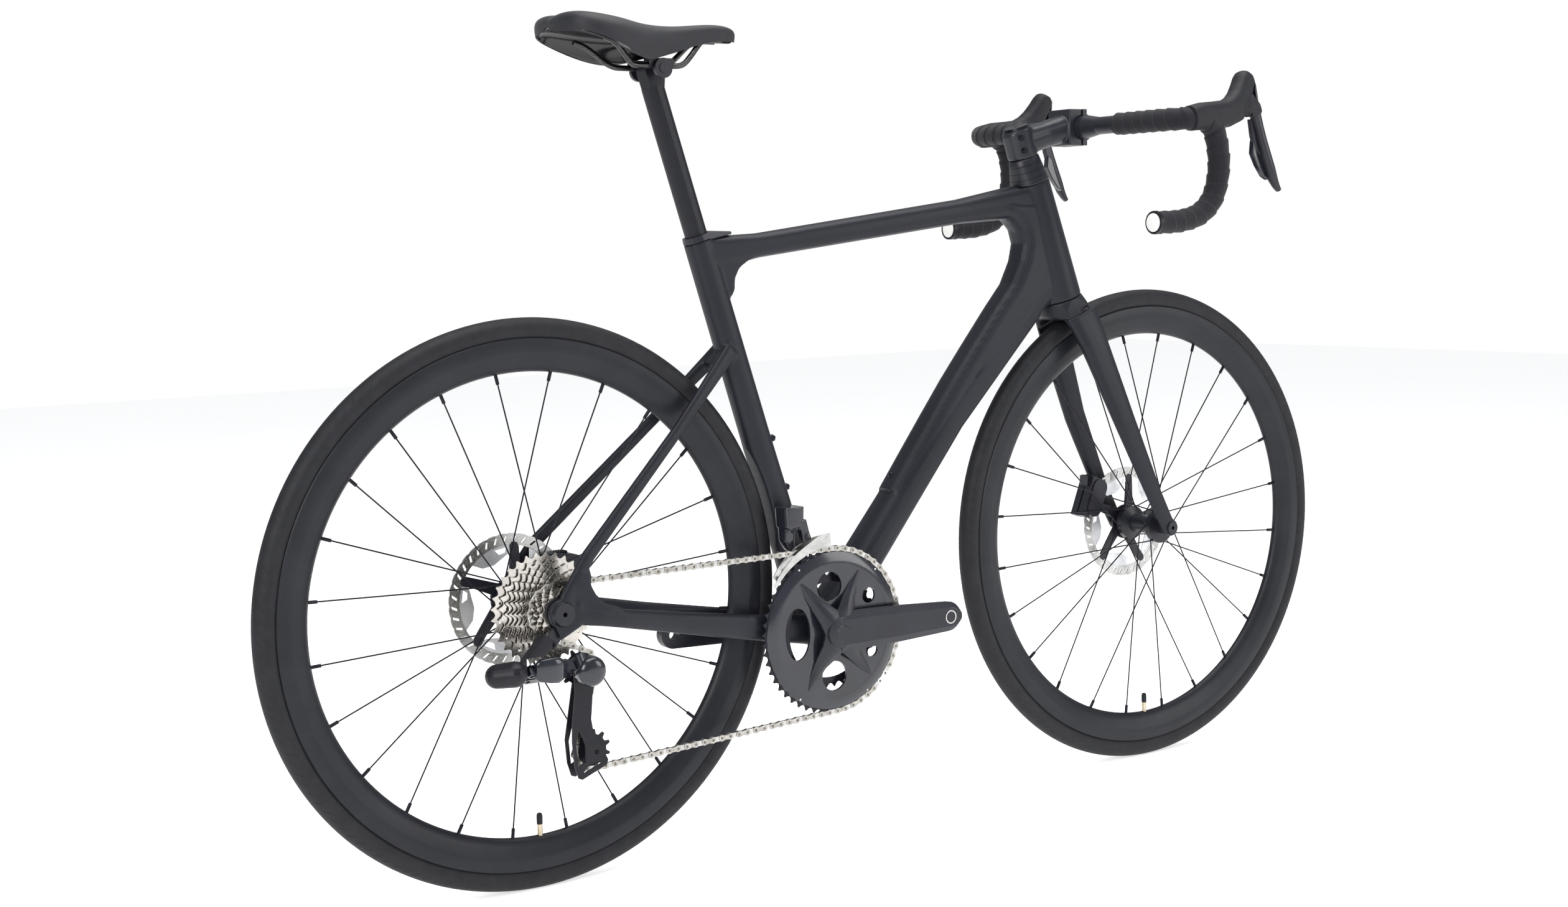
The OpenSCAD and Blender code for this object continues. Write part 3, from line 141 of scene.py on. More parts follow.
CARBON = material("carbon_satin", (0.0072, 0.0078, 0.0125), (0.0105, 0.0113, 0.0175), 0.44, scale=9,
    bump=0.05, bump_scale=900)
POST = material("carbon_post", (0.0055, 0.0058, 0.009), (0.0085, 0.009, 0.0135), 0.42, scale=14, bump=0.06,
    bump_scale=900)
RIM = material("carbon_rim", (0.0085, 0.009, 0.0125), (0.0135, 0.0142, 0.019), 0.4, scale=18, bump=0.1,
    bump_scale=700)
RUBBER = material("tyre_rubber", (0.005, 0.0052, 0.0072), (0.0105, 0.0108, 0.0145), 0.62, scale=60,
    bump=0.25, bump_scale=1600, spec=0.35)
HOOD = material("hood_rubber", (0.00576, 0.00588, 0.0088), (0.009, 0.009187, 0.0135), 0.58, scale=90,
    bump=0.3, bump_scale=2600, spec=0.35)
TAPE = material("tape_cork", (0.00432, 0.00441, 0.0068), (0.009, 0.009187, 0.014), 0.78, scale=260,
    bump=0.75, bump_scale=1500, spec=0.3, sheen=0.12)
COVER = material("saddle_cover", (0.00612, 0.006248, 0.0095), (0.009, 0.009187, 0.014), 0.55, scale=70,
    bump=0.35, bump_scale=1900, spec=0.4, sheen=0.06)
SHELL = material("saddle_shell", (0.00288, 0.00294, 0.0045), (0.00504, 0.005145, 0.0078), 0.22, scale=30,
    bump=0.04, coat=0.6)
ALLOY_BLACK = material("anodised_black", (0.00864, 0.008967, 0.0135), (0.01296, 0.0136, 0.02), 0.34,
    scale=30, bump=0.08, bump_scale=1500, spec=0.4)
GLOSS = material("gloss_graphite", (0.00864, 0.009187, 0.014), (0.01584, 0.0169, 0.026), 0.2, scale=24,
    bump=0.03, coat=0.7)
PLASTIC = material("satin_plastic", (0.00576, 0.00588, 0.009), (0.00864, 0.00882, 0.0135), 0.38, scale=60,
    bump=0.1, bump_scale=1800)
CRANK = material("crank_alloy", (0.01044, 0.01103, 0.0165), (0.01512, 0.0158, 0.0235), 0.36, scale=26,
    bump=0.06, bump_scale=1400, spec=0.4)
RING = material("ring_black", (0.0072, 0.007497, 0.0115), (0.01152, 0.01213, 0.018), 0.26, metal=0.2,
    scale=26, bump=0.05)
STEEL = material("stainless", (0.42, 0.42, 0.41), (0.58, 0.575, 0.56), 0.28, metal=1.0, scale=70, grain=0.1,
    bump=0.08, bump_scale=900)
NICKEL = material("nickel_cogs", (0.47, 0.445, 0.41), (0.66, 0.63, 0.59), 0.24, metal=1.0, scale=50,
    grain=0.1, bump=0.1, bump_scale=800)
CHAIN = material("chain_plates", (0.3, 0.285, 0.26), (0.5, 0.48, 0.45), 0.3, metal=1.0, scale=180,
    grain=0.12, bump=0.15, bump_scale=700)
PIN = material("chain_pins", (0.12, 0.115, 0.105), (0.2, 0.195, 0.18), 0.35, metal=1.0, scale=200, bump=0.1)
FIN = material("cooling_alloy", (0.62, 0.63, 0.65), (0.74, 0.75, 0.77), 0.38, metal=0.9, scale=60, bump=0.1)
TITANIUM = material("rail_gunmetal", (0.045, 0.045, 0.047), (0.08, 0.079, 0.08), 0.3, metal=1.0, scale=50,
    bump=0.1, stretch=(1, 8, 8))
BLACK_STEEL = material("black_steel", (0.00864, 0.00882, 0.013), (0.01728, 0.01764, 0.026), 0.32, metal=0.6,
    scale=80, bump=0.06)
SPOKE = material("spoke_black", (0.00576, 0.00588, 0.009), (0.0144, 0.0147, 0.022), 0.3, metal=0.5,
    scale=120, bump=0.05)
BRASS = material("valve_brass", (0.5, 0.42, 0.3), (0.62, 0.55, 0.43), 0.3, metal=1.0, scale=90, bump=0.15)
WHITE = material("plug_white", (0.72, 0.72, 0.7), (0.8, 0.8, 0.78), 0.4, scale=40, bump=0.03)
HOSE = material("hose_black", (0.00504, 0.005145, 0.008), (0.00864, 0.00882, 0.013), 0.4, scale=120,
    bump=0.08)


# ---------------------------------------------------------------- mesh helpers

def shade(o, degrees=32):
    for p in o.data.polygons:
        p.use_smooth = True
    m = o.data
    bm = bmesh.new()
    bm.from_mesh(m)
    limit = math.radians(degrees)
    for e in bm.edges:
        e.smooth = len(e.link_faces) == 2 and e.calc_face_angle(0) < limit
    bm.to_mesh(m)
    bm.free()


def piece(name, verts, faces, mat, body, slot, stands=(), bevel=0.0, angle=32, origin=None):
    """A mesh piece from points in millimetres; origin is where its object sits."""
    at = Vector(origin) if origin is not None else Vector((0, 0, 0))
    mesh = bpy.data.meshes.new(name)
    mesh.from_pydata([tuple((Vector(v) - at) * MM) for v in verts], [], faces)
    bm = bmesh.new()
    bm.from_mesh(mesh)
    bmesh.ops.recalc_face_normals(bm, faces=bm.faces)
    bm.to_mesh(mesh)
    bm.free()
    mesh.materials.append(mat)
    o = bpy.data.objects.new(name, mesh)
    bpy.context.scene.collection.objects.link(o)
    o.location = at * MM
    shade(o, angle)
    if bevel:
        add_bevel(o, bevel)
    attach(o, body)
    if stands:
        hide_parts(*stands)
    return o


def add_bevel(o, width, segments=2, angle=32):
    b = o.modifiers.new("edge", "BEVEL")
    b.width = width * MM
    b.segments = segments
    b.limit_method = "ANGLE"
    b.angle_limit = math.radians(angle)
    b.harden_normals = True


class Shape:
    """Points and faces gathered from several simple forms."""

    def __init__(self):
        self.v, self.f = [], []

    def add(self, verts, faces):
        n = len(self.v)
        self.v += [Vector(p) for p in verts]
        self.f += [[n + i for i in face] for face in faces]
        return self

    def sweep(self, path, size, n=16, power=2.0, cap=True, up=(0, 1, 0), closed=False):
        """Tube along path; size is a radius, or (across, along up) at each point."""
        path = [Vector(p) for p in path]
        rows, last = [], len(path) - 1
        side = None
        for i, p in enumerate(path):
            a = path[(i - 1) % len(path)] if closed else path[max(i - 1, 0)]
            b = path[(i + 1) % len(path)] if closed else path[min(i + 1, last)]
            t = (b - a).normalized()
            u = Vector(up) if side is None else side
            u = (u - t * u.dot(t)).normalized()
            side = u
            w = t.cross(u)
            s = size[i] if isinstance(size, (list, tuple)) else size
            sw, su = s if isinstance(s, tuple) else (s, s)
            row = []
            for k in range(n):
                c, d = math.cos(2 * math.pi * k / n), math.sin(2 * math.pi * k / n)
                e = 2 / power
                row.append(p + w * sw * math.copysign(abs(c) ** e, c)
                    + u * su * math.copysign(abs(d) ** e, d))
            rows.append(row)
        return self.skin(rows, cap, closed)

    def skin(self, rows, cap=True, closed=False):
        n, count = len(rows[0]), len(rows)
        verts = [p for row in rows for p in row]
        faces = []
        for i in range(count if closed else count - 1):
            j = (i + 1) % count
            faces += [[i * n + k, i * n + (k + 1) % n, j * n + (k + 1) % n, j * n + k] for k in range(n)]
        if cap and not closed:
            faces += [list(range(n))[::-1], [(count - 1) * n + k for k in range(n)]]
        return self.add(verts, faces)

    def lathe(self, profile, c, n=64, axis=(0, 1, 0), cap=False):
        """profile: (radius, distance along the axis) turned about the axis through c."""
        a = Vector(axis).normalized()
        u = Vector((0, 0, 1)) if abs(a.z) < 0.9 else Vector((1, 0, 0))
        u = (u - a * u.dot(a)).normalized()
        w = a.cross(u)
        rows = []
        for k in range(n):
            d = u * math.cos(2 * math.pi * k / n) + w * math.sin(2 * math.pi * k / n)
            rows.append([Vector(c) + d * r + a * y for r, y in profile])
        m = len(profile)
        faces = []
        for k in range(n):
            j = (k + 1) % n
            faces += [[k * m + i, k * m + i + 1, j * m + i + 1, j * m + i] for i in range(m - 1)]
            if not cap:
                faces.append([k * m + m - 1, k * m, j * m, j * m + m - 1])
        self.add([p for row in rows for p in row], faces)
        if cap:
            n0 = len(self.v) - m * n
            self.f += [[n0 + k * m for k in range(n)], [n0 + k * m + m - 1 for k in range(n)][::-1]]
        return self

    def disc(self, c, r, t, n=24, axis=(0, 1, 0)):
        return self.lathe([(r, -t / 2), (r, t / 2)], c, n, axis, cap=True)

    def plate(self, outline, y, t, c=(0, 0), holes=()):
        """Flat plate in the XZ plane between y - t/2 and y + t/2, with the holes cut out."""
        bm = bmesh.new()
        loops = [outline] + list(holes)
        edges = []
        for loop in loops:
            vs = [bm.verts.new((c[0] + x, y - t / 2, c[1] + z)) for x, z in loop]
            edges += [bm.edges.new((vs[i], vs[(i + 1) % len(vs)])) for i in range(len(vs))]
        bmesh.ops.triangle_fill(bm, use_beauty=True, use_dissolve=False, edges=edges, normal=(0, 1, 0))
        flat = list(bm.faces)
        out = bmesh.ops.extrude_face_region(bm, geom=flat)
        moved = [g for g in out["geom"] if isinstance(g, bmesh.types.BMVert)]
        bmesh.ops.translate(bm, verts=moved, vec=(0, t, 0))
        bmesh.ops.recalc_face_normals(bm, faces=bm.faces)
        bm.verts.index_update()
        self.add([v.co.copy() for v in bm.verts], [[v.index for v in f.verts] for f in bm.faces])
        bm.free()
        return self

    def mirrored(self):
        self.v = [Vector((p.x, -p.y, p.z)) for p in self.v]
        return self

    def merge(self, other):
        return self.add(other.v, other.f)

    def make(self, *args, **kw):
        name = args[0]
        return piece(name, self.v, self.f, *args[1:], **kw)


def circle(r, n=24, c=(0, 0), start=0):
    return [(c[0] + polar(r, start + 360 * k / n)[0], c[1] + polar(r, start + 360 * k / n)[1])
        for k in range(n)]


def cad_shape(*names):
    """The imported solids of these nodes, welded, as a Shape."""
    s = Shape()
    for name in names:
        bm = bmesh.new()
        bm.from_mesh(NODES[name].data)
        bmesh.ops.transform(bm, matrix=NODES[name].matrix_world, verts=bm.verts)
        bmesh.ops.remove_doubles(bm, verts=bm.verts, dist=1e-6)
        bm.verts.index_update()
        s.add([v.co / MM for v in bm.verts], [[v.index for v in f.verts] for f in bm.faces])
        bm.free()
    return s


def soften(shape, voxel, rounds, factor=0.5):
    """The union of a shape's solids, remeshed and rounded so that its joins flow together."""
    mesh = bpy.data.meshes.new("raw")
    mesh.from_pydata([tuple(p * MM) for p in shape.v], [], shape.f)
    o = bpy.data.objects.new("raw", mesh)
    bpy.context.scene.collection.objects.link(o)
    r = o.modifiers.new("remesh", "REMESH")
    r.mode = "VOXEL"
    r.voxel_size = voxel * MM
    s = o.modifiers.new("smooth", "SMOOTH")
    s.factor, s.iterations = factor, rounds
    done = bpy.data.meshes.new_from_object(o.evaluated_get(bpy.context.evaluated_depsgraph_get()))
    out = Shape().add([v.co / MM for v in done.vertices], [list(p.vertices) for p in done.polygons])
    bpy.data.objects.remove(o)
    bpy.data.meshes.remove(mesh)
    bpy.data.meshes.remove(done)
    return out


def finish_cad(name, mat, bevel=0.0):
    """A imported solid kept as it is, with a finish and softened edges."""
    o = NODES[name]
    o.data.materials.clear()
    o.data.materials.append(mat)
    for p in o.data.polygons:
        p.material_index = 0
    if bevel:
        add_bevel(o, bevel)


# ---------------------------------------------------------------- frame

head_angle = math.radians(72.7)
fork_rake = 51.5
stack = 567
steer_up = Vector((-math.cos(head_angle), 0, math.sin(head_angle)))
head_top = Vector((front.x, 0, front.z))
head_top -= Vector((math.sin(head_angle), 0, math.cos(head_angle))) * fork_rake
head_top += steer_up * ((bb.z + stack - head_top.z) / steer_up.z)


def fillet_web(corners, y, t):
    """Thin lens of material that rounds out the corner between two tubes."""
    middle = sum((Vector((x, 0, z)) for x, z in corners), Vector()) / len(corners)
    s = Shape()
    for depth, k in ((t, 0.82), (t * 0.78, 0.92), (t * 0.5, 1.0)):
        s.plate([(middle.x + (x - middle.x) * k, middle.z + (z - middle.z) * k) for x, z in corners], y,
            depth)
    return s


def flared_web(arc, inner, t):
    """Web whose rounded edge runs along arc, thinnest at the edge; inner closes it inside the tubes."""
    s = Shape()
    for inset, k in ((0, 0.34), (1.6, 0.6), (4.5, 0.8), (9, 0.94), (15, 1)):
        edge = []
        for i, (x, z) in enumerate(arc):
            (x0, z0), (x1, z1) = arc[max(i - 1, 0)], arc[min(i + 1, len(arc) - 1)]
            length = math.hypot(x1 - x0, z1 - z0)
            edge.append((x + (z1 - z0) / length * inset, z - (x1 - x0) / length * inset))
        s.plate(edge + inner, 0, t * k)
    return s


frame_raw = cad_shape("head_tube", "top_tube", "seat_tube", "down_tube", "bottom_bracket_shell",
    "chainstays", "seatstays")
h = head_top
arc = [(-262, -400), (-230, -358), (-190, -306), (-155, -261), (-120, -219), (-74, -165), (-47, -135),
    (-31, -104), (-26, -83), (-31, -66), (-42, -55), (-60, -44)]
inner = [(0, -34), (26, -140), (-20, -170), (-120, -256), (-190, -334), (-250, -406)]
frame_raw.merge(flared_web([(h.x + x, h.z + z) for x, z in arc], [(h.x + x, h.z + z) for x, z in inner],
    44))
post_foot = Vector((low("seatpost_clamp").x + 30, 0, low("seatpost_clamp").z))
frame_raw.merge(fillet_web([(post_foot.x, post_foot.z - 12), (post_foot.x + 74, post_foot.z - 12),
    (post_foot.x + 58, post_foot.z - 19),
    (post_foot.x + 44, post_foot.z - 28), (post_foot.x + 36, post_foot.z - 42),
    (post_foot.x + 33, post_foot.z - 66), (post_foot.x + 8, post_foot.z - 60)], 0,
    24))
for side in (-1, 1):
    y = side * 74
    frame_raw.merge(fillet_web([(rear.x + 6, rear.z + 4), (rear.x + 22, rear.z + 50),
        (rear.x + 40, rear.z + 46), (rear.x + 39, rear.z + 30),
        (rear.x + 46, rear.z + 17), (rear.x + 60, rear.z + 4),
        (rear.x + 84, rear.z - 4), (rear.x + 40, rear.z - 14)], y, 7))
shell = soften(frame_raw, 1.7, 9)
shell.make("frame_monocoque", CARBON, "frame", "frame_carbon", angle=180,
    stands=("head_tube", "top_tube", "seat_tube", "down_tube", "bottom_bracket_shell", "chainstays",
    "seatstays"))
fork = soften(cad_shape("fork_blades", "fork_steerer"), 1.5, 7)
fork.make("fork_monocoque", CARBON, "steering", "frame_carbon", angle=180,
    stands=("fork_blades", "fork_steerer"))

finish_cad("headset_bearings", STEEL)
finish_cad("bottom_bracket_bearings", ALLOY_BLACK, 0.4)
finish_cad("derailleur_hanger", ALLOY_BLACK, 0.5)
finish_cad("rear_axle", ALLOY_BLACK, 0.5)
finish_cad("front_axle", ALLOY_BLACK, 0.5)
finish_cad("rear_caliper", ALLOY_BLACK, 0.6)
finish_cad("front_caliper", ALLOY_BLACK, 0.6)
finish_cad("rear_derailleur_mount", PLASTIC, 0.6)
finish_cad("frame_bolts", BLACK_STEEL, 0.3)
finish_cad("seatpost_clamp", ALLOY_BLACK, 0.5)
finish_cad("stem_faceplate", CRANK, 1.0)
finish_cad("stem_bolts", BLACK_STEEL, 0.3)
finish_cad("handlebar", CRANK)
finish_cad("bar_end_plugs", PLASTIC, 0.8)
finish_cad("front_hub", ALLOY_BLACK, 0.4)
finish_cad("rear_hub", ALLOY_BLACK, 0.4)
finish_cad("freehub", ALLOY_BLACK, 0.4)
finish_cad("crank_left", CRANK, 2.0)
finish_cad("derailleur_outer_link", GLOSS, 0.8)
finish_cad("derailleur_inner_link", GLOSS, 0.8)
finish_cad("derailleur_knuckle", GLOSS, 1.2)
finish_cad("guide_pulley", PLASTIC, 0.3)
finish_cad("tension_pulley", PLASTIC, 0.3)
finish_cad("seatpost", POST, 1.2)
finish_cad("saddle_clamp", ALLOY_BLACK, 0.8)


# ---------------------------------------------------------------- wheels

def tyre_profile():
    c, r = wheel_r - tyre_w / 2, tyre_w / 2
    outer = []
    for k in range(-26, 27):
        a = math.radians(k * 5.2)
        crown = 0.35 * max(0, math.cos(a)) ** 6
        outer.append((c + (r - 0.35 + crown) * math.cos(a) - (0.35 if abs(a) > 1.2 else 0),
            (r - 0.15) * math.sin(a)))
    return outer + [(rim_r - 3, 6), (rim_r - 3, -6)]


def rim_profile():
    half = rim_w / 2
    nose = rim_r - rim_depth
    side = [(rim_r, half - 2.4), (rim_r - 1.2, half - 1.2), (rim_r - 6, half - 0.8), (rim_r - 16, half),
        (nose + 22, half - 0.7), (nose + 12, half - 3.2), (nose + 5, half - 6.6),
        (nose + 1.2, half - 10.2)]
    return side + [(nose, 0)] + [(r, -y) for r, y in side[::-1]] + [(rim_r - 5, -half + 6),
        (rim_r - 5, half - 6)]


def tread_marks(c):
    """Fine slanted cuts along both shoulders of a tyre."""
    s = Shape()
    count, cr = 150, wheel_r - tyre_w / 2
    for k in range(count):
        for side in (-1, 1):
            a0 = 360 * k / count
            rows = []
            for j in range(4):
                around = math.radians(38 + 9 * j)
                r = cr + (tyre_w / 2 + 0.02) * math.cos(around)
                y = side * (tyre_w / 2 + 0.02) * math.sin(around)
                a = math.radians(a0 + 0.42 * j)
                da = 0.0016
                rows.append([Vector(c) + Vector((r * math.cos(a + q), y, r * math.sin(a + q)))
                    for q in (-da, da)])
            verts = [p for row in rows for p in row]
            s.add(verts, [[2 * j, 2 * j + 1, 2 * j + 3, 2 * j + 2] for j in range(3)])
    return s


def valve(c):
    """Threaded brass stem with a black cap, standing on the rim at the foot of the wheel."""
    nose = rim_r - rim_depth
    foot = Vector((c.x, 0, c.z - nose))
    stem = [(3.3, -1), (3.3, 1.5)] + [(3.15 + 0.12 * (k % 2), 2 + 0.6 * k) for k in range(18)] + [(3.1, 13)]
    cap = [(3.5, 12.5), (3.7, 13.5), (3.7, 22), (3.2, 25), (1.2, 26.2)]
    return Shape().lathe(stem, foot, 20, (0, 0, 1), cap=True), Shape().lathe(cap, foot, 20, (0, 0, 1),
        cap=True)


def wheel(side, c, body):
    Shape().lathe(tyre_profile(), c, 180).make(side + "_tyre_skin", RUBBER, body, "tyre_rubber",
        stands=(side + "_tyre",), angle=60, origin=c)
    Shape().lathe(rim_profile(), c, 180).make(side + "_rim_shell", RIM, body, "rim_carbon",
        stands=(side + "_rim",), angle=40, origin=c)
    tread_marks(c).make(side + "_tread_marks", HOSE, body, "tyre_rubber")
    stem, cap = valve(c)
    stem.make(side + "_valve_stem", BRASS, body, "rotor_steel", angle=60)
    cap.make(side + "_valve_cap", PLASTIC, body, "tyre_rubber", angle=40)
    finish_cad(side + "_spokes", SPOKE)


wheel("rear", rear, "rear_wheel")
wheel("front", front, "front_wheel")


def rotor(side, body):
    """Two-piece disc: slotted steel band, bright cooling fins and a black five-arm carrier."""
    c = mid(side + "_rotor")
    r = (high(side + "_rotor") - low(side + "_rotor")).z / 2
    slots = []
    for k in range(36):
        a = k * 10
        slots.append([polar(r - 3.4, a), polar(r - 3.8, a + 2.2), polar(r - 10.5, a + 5.4),
            polar(r - 10.8, a + 3.0)])
    edge = [polar(r - (0.9 if k % 4 == 0 else 0), k * 2.5) for k in range(144)]
    band = Shape().plate(edge, c.y, 1.8, (c.x, c.z), holes=[circle(r - 14, 96)] + slots)
    band.make(side + "_rotor_band", STEEL, body, "rotor_steel", stands=(side + "_rotor",), bevel=0.12)
    fins = Shape()
    arms = Shape()
    for k in range(5):
        a = k * 72 + 12
        fin = [polar(r - 14.2, a + d) for d in range(0, 53, 4)] + [polar(r - 27, a + 46),
            polar(r - 33, a + 30), polar(r - 25, a + 6)]
        fins.plate(fin, c.y, 1.2, (c.x, c.z), holes=[[polar(r - 17, a + 8), polar(r - 17, a + 22),
            polar(r - 24, a + 18), polar(r - 23, a + 10)]])
        arm = [polar(17, a - 26), polar(24, a - 34), polar(r - 26, a - 10), polar(r - 15, a - 7),
            polar(r - 10.5, a - 4),
            polar(r - 10.5, a + 2), polar(r - 15, a + 4), polar(r - 27, a + 3), polar(24, a + 6),
            polar(17, a + 18)]
        arms.plate(arm, c.y, 2.6, (c.x, c.z))
        x, z = polar(r - 12.5, a - 1)
        arms.disc((c.x + x, c.y, c.z + z), 2.6, 2.8, 16)
    arms.plate(circle(25, 40), c.y, 2.8, (c.x, c.z), holes=[circle(17.2, 40)])
    fins.make(side + "_rotor_fins", FIN, body, "rotor_steel", bevel=0.2)
    arms.make(side + "_rotor_carrier", ALLOY_BLACK, body, "black_anodised", bevel=0.25)


rotor("rear", "rear_wheel")
rotor("front", "front_wheel")


# ---------------------------------------------------------------- drivetrain

def cog_outline(n, h=tooth_h, root=3.4):
    """Toothed outline: rounded roller seats between narrow tips."""
    pts, step = [], 360 / n
    for i in range(n):
        for k, lift in ((0, -root), (0.16, -root * 0.8), (0.32, -0.6), (0.42, h * 0.75), (0.47, h),
                (0.53, h), (0.58, h * 0.75), (0.68, -0.6), (0.84, -root * 0.8)):
            pts.append(polar(pitch_r(n) + lift, (i + k) * step))
    return pts


def cassette():
    s = Shape()
    dark = Shape()
    for i, n in enumerate(cog_teeth):
        y = cog_y0 + i * cog_pitch
        r = pitch_r(n)
        holes = [circle(17.3, 40)]
        if n >= 19:
            count = n // 2
            inner = pitch_r(cog_teeth[i - 1]) + 0.4
            for k in range(count):
                a = 360 * k / count + 7 * i
                mid_r = (min(inner, r - 8) + r) / 2 - 4.5
                holes.append(circle(1.7, 10, polar(max(mid_r, 20.5), a)))
        s.plate(cog_outline(n), y, 1.4, (rear.x, rear.z),
            holes=holes if r > 21 else [circle(min(17.3, r - 5), 40)])
        if i:
            dark.lathe([(min(r - 6, 27), y - 2.7), (min(r - 6, 27), y - 0.7), (17.2, y - 0.7),
                (17.2, y - 2.7)], (rear.x, 0, rear.z), 40)
    s.make("cassette_cogs", NICKEL, "sprockets", "sprocket_steel", stands=("cassette",), bevel=0.18)
    dark.make("cassette_spacers", BLACK_STEEL, "sprockets", "black_steel")
    lock = Shape().plate(circle(15.4, 48), cog_y0 - 1.4, 1.6, (rear.x, rear.z), holes=[circle(11.2, 24)])
    lock.make("cassette_lockring", ALLOY_BLACK, "sprockets", "black_anodised", bevel=0.2)


cassette()


def loop_points():
    """Pins of the chain in order, each as a point, worked out as in the part's own source."""
    wheels = [(bb.x, bb.z, pitch_r(big), 1, -ring_y), (rear.x, rear.z, pitch_r(chain_cog), 1, chain_y),
        (guide.x, guide.z, pitch_r(11), -1, chain_y), (tension.x, tension.z, pitch_r(11), 1, chain_y)]

    def heading(i):
        a, b = wheels[i], wheels[(i + 1) % 4]
        dx, dz = b[0] - a[0], b[1] - a[1]
        return math.atan2(dz, dx) + math.asin((a[3] * a[2] - b[3] * b[2]) / math.hypot(dx, dz))

    def touch(c, f):
        return (c[0] + c[3] * c[2] * math.sin(f), c[1] - c[3] * c[2] * math.cos(f))

    parts = []
    for i, c in enumerate(wheels):
        turn = ((heading(i) - heading((i + 3) % 4)) * c[3]) % (2 * math.pi)
        a, b = touch(c, heading(i)), touch(wheels[(i + 1) % 4], heading(i))
        parts += [turn * c[2], math.hypot(b[0] - a[0], b[1] - a[1])]
    total = sum(parts)
    count = 2 * round(total / pitch / 2)
    pins = []
    for n in range(count):
        s, k = n * total / count, 0
        while s > parts[k]:
            s -= parts[k]
            k += 1
        i = k // 2
        c, d = wheels[i], wheels[(i + 1) % 4]
        if k % 2 == 0:
            f = heading((i + 3) % 4) + c[3] * s / c[2]
            x, z = touch(c, f)
            pins.append(Vector((x, c[4], z)))
        else:
            f, w = heading(i), s / parts[k]
            x, z = touch(c, f)
            pins.append(Vector((x + s * math.cos(f), c[4] * (1 - w) + d[4] * w, z + s * math.sin(f))))
    return pins


def link_plate(a, b, offset, thick, r, waist):
    """One figure-of-eight side plate between two pins."""
    s = Shape()
    d = b - a
    d.y = 0
    length = d.length
    ang = math.degrees(math.atan2(d.z, d.x))
    outline = [polar(r, t) for t in range(-120, 121, 24)]
    outline = [(length + x, z) for x, z in outline] + [(length / 2, waist)]
    outline += [(-x, z) for x, z in [polar(r, t) for t in range(120, -121, -24)]] + [(length / 2, -waist)]
    s.plate(outline, 0, thick, (0, 0))
    slope = Vector((length, b.y - a.y, 0))
    turn = Matrix.Rotation(math.radians(-ang), 4, "Y")
    s.v = [a + (turn @ Vector((p.x, p.y + offset + slope.y * p.x / length, p.z))) for p in s.v]
    return s


def chain():
    pins = loop_points()
    outer, inner, quick, rollers = Shape(), Shape(), Shape(), Shape()
    for i, a in enumerate(pins):
        b = pins[(i + 1) % len(pins)]
        wide = i % 2 == 0
        target = (quick if i == 6 else outer) if wide else inner
        for side in (-1, 1):
            target.merge(link_plate(a, b, side * (2.15 if wide else 1.45), 0.7,
                4.0 if wide else 3.8, 2.6 if wide else 3.1))
        rollers.lathe([(1.75, -2.6), (1.85, -1.1), (3.6, -1.05), (3.6, 1.05), (1.85, 1.1), (1.75, 2.6)], a,
            12, cap=True)
    outer.make("chain_outer_plates", CHAIN, "frame", "chain_steel", stands=("chain",))
    inner.make("chain_inner_plates", STEEL, "frame", "chain_steel")
    quick.make("chain_quick_link", FIN, "frame", "chain_steel")
    rollers.make("chain_rollers", PIN, "frame", "chain_steel")


chain()


def chainrings():
    """Outer ring with its closed gloss face and spotted edge, and the inner ring behind it."""
    s = Shape()
    r = pitch_r(big)
    s.plate(cog_outline(big, tooth_h, 3.0), -ring_y, 2.0, (bb.x, bb.z), holes=[circle(r - 13, 72)])
    s.plate(cog_outline(small, tooth_h, 3.0), -ring_small_y, 2.0, (bb.x, bb.z),
        holes=[circle(pitch_r(small) - 11, 60)])
    s.make("chainring_teeth", RING, "crankset", "ring_black", stands=("chainrings",), bevel=0.2)
    face = Shape()
    openings = [circle(19, 28, polar(58, 97)), circle(19, 28, polar(58, 268)),
        circle(10, 20, polar(67, 36)), circle(9, 20, polar(66, 331)),
        [(x * 1.0 - 57, z * 1.75 + 2) for x, z in circle(19, 32)]]
    face.plate(circle(r - 18, 96), -ring_y - 4.4, 3.2, (bb.x, bb.z), holes=openings)
    face.lathe([(r - 3.6, -1.2), (r - 4.2, -2.6), (r - 9, -4.6), (r - 17, -6.2), (r - 19, -6.2),
        (r - 20, -3.4), (r - 19, 0.2), (r - 8, 0.6)],
        (bb.x, -ring_y, bb.z), 120)
    face.make("chainring_face", GLOSS, "crankset", "ring_black", angle=24)
    dots = Shape()
    for a in (47, 122, 236, 301):
        x, z = polar(r - 7, a)
        dots.disc((bb.x + x, -ring_y - 4.2, bb.z + z), 1.4, 1.2, 14)
    dots.make("chainring_spots", STEEL, "crankset", "ring_black")


chainrings()


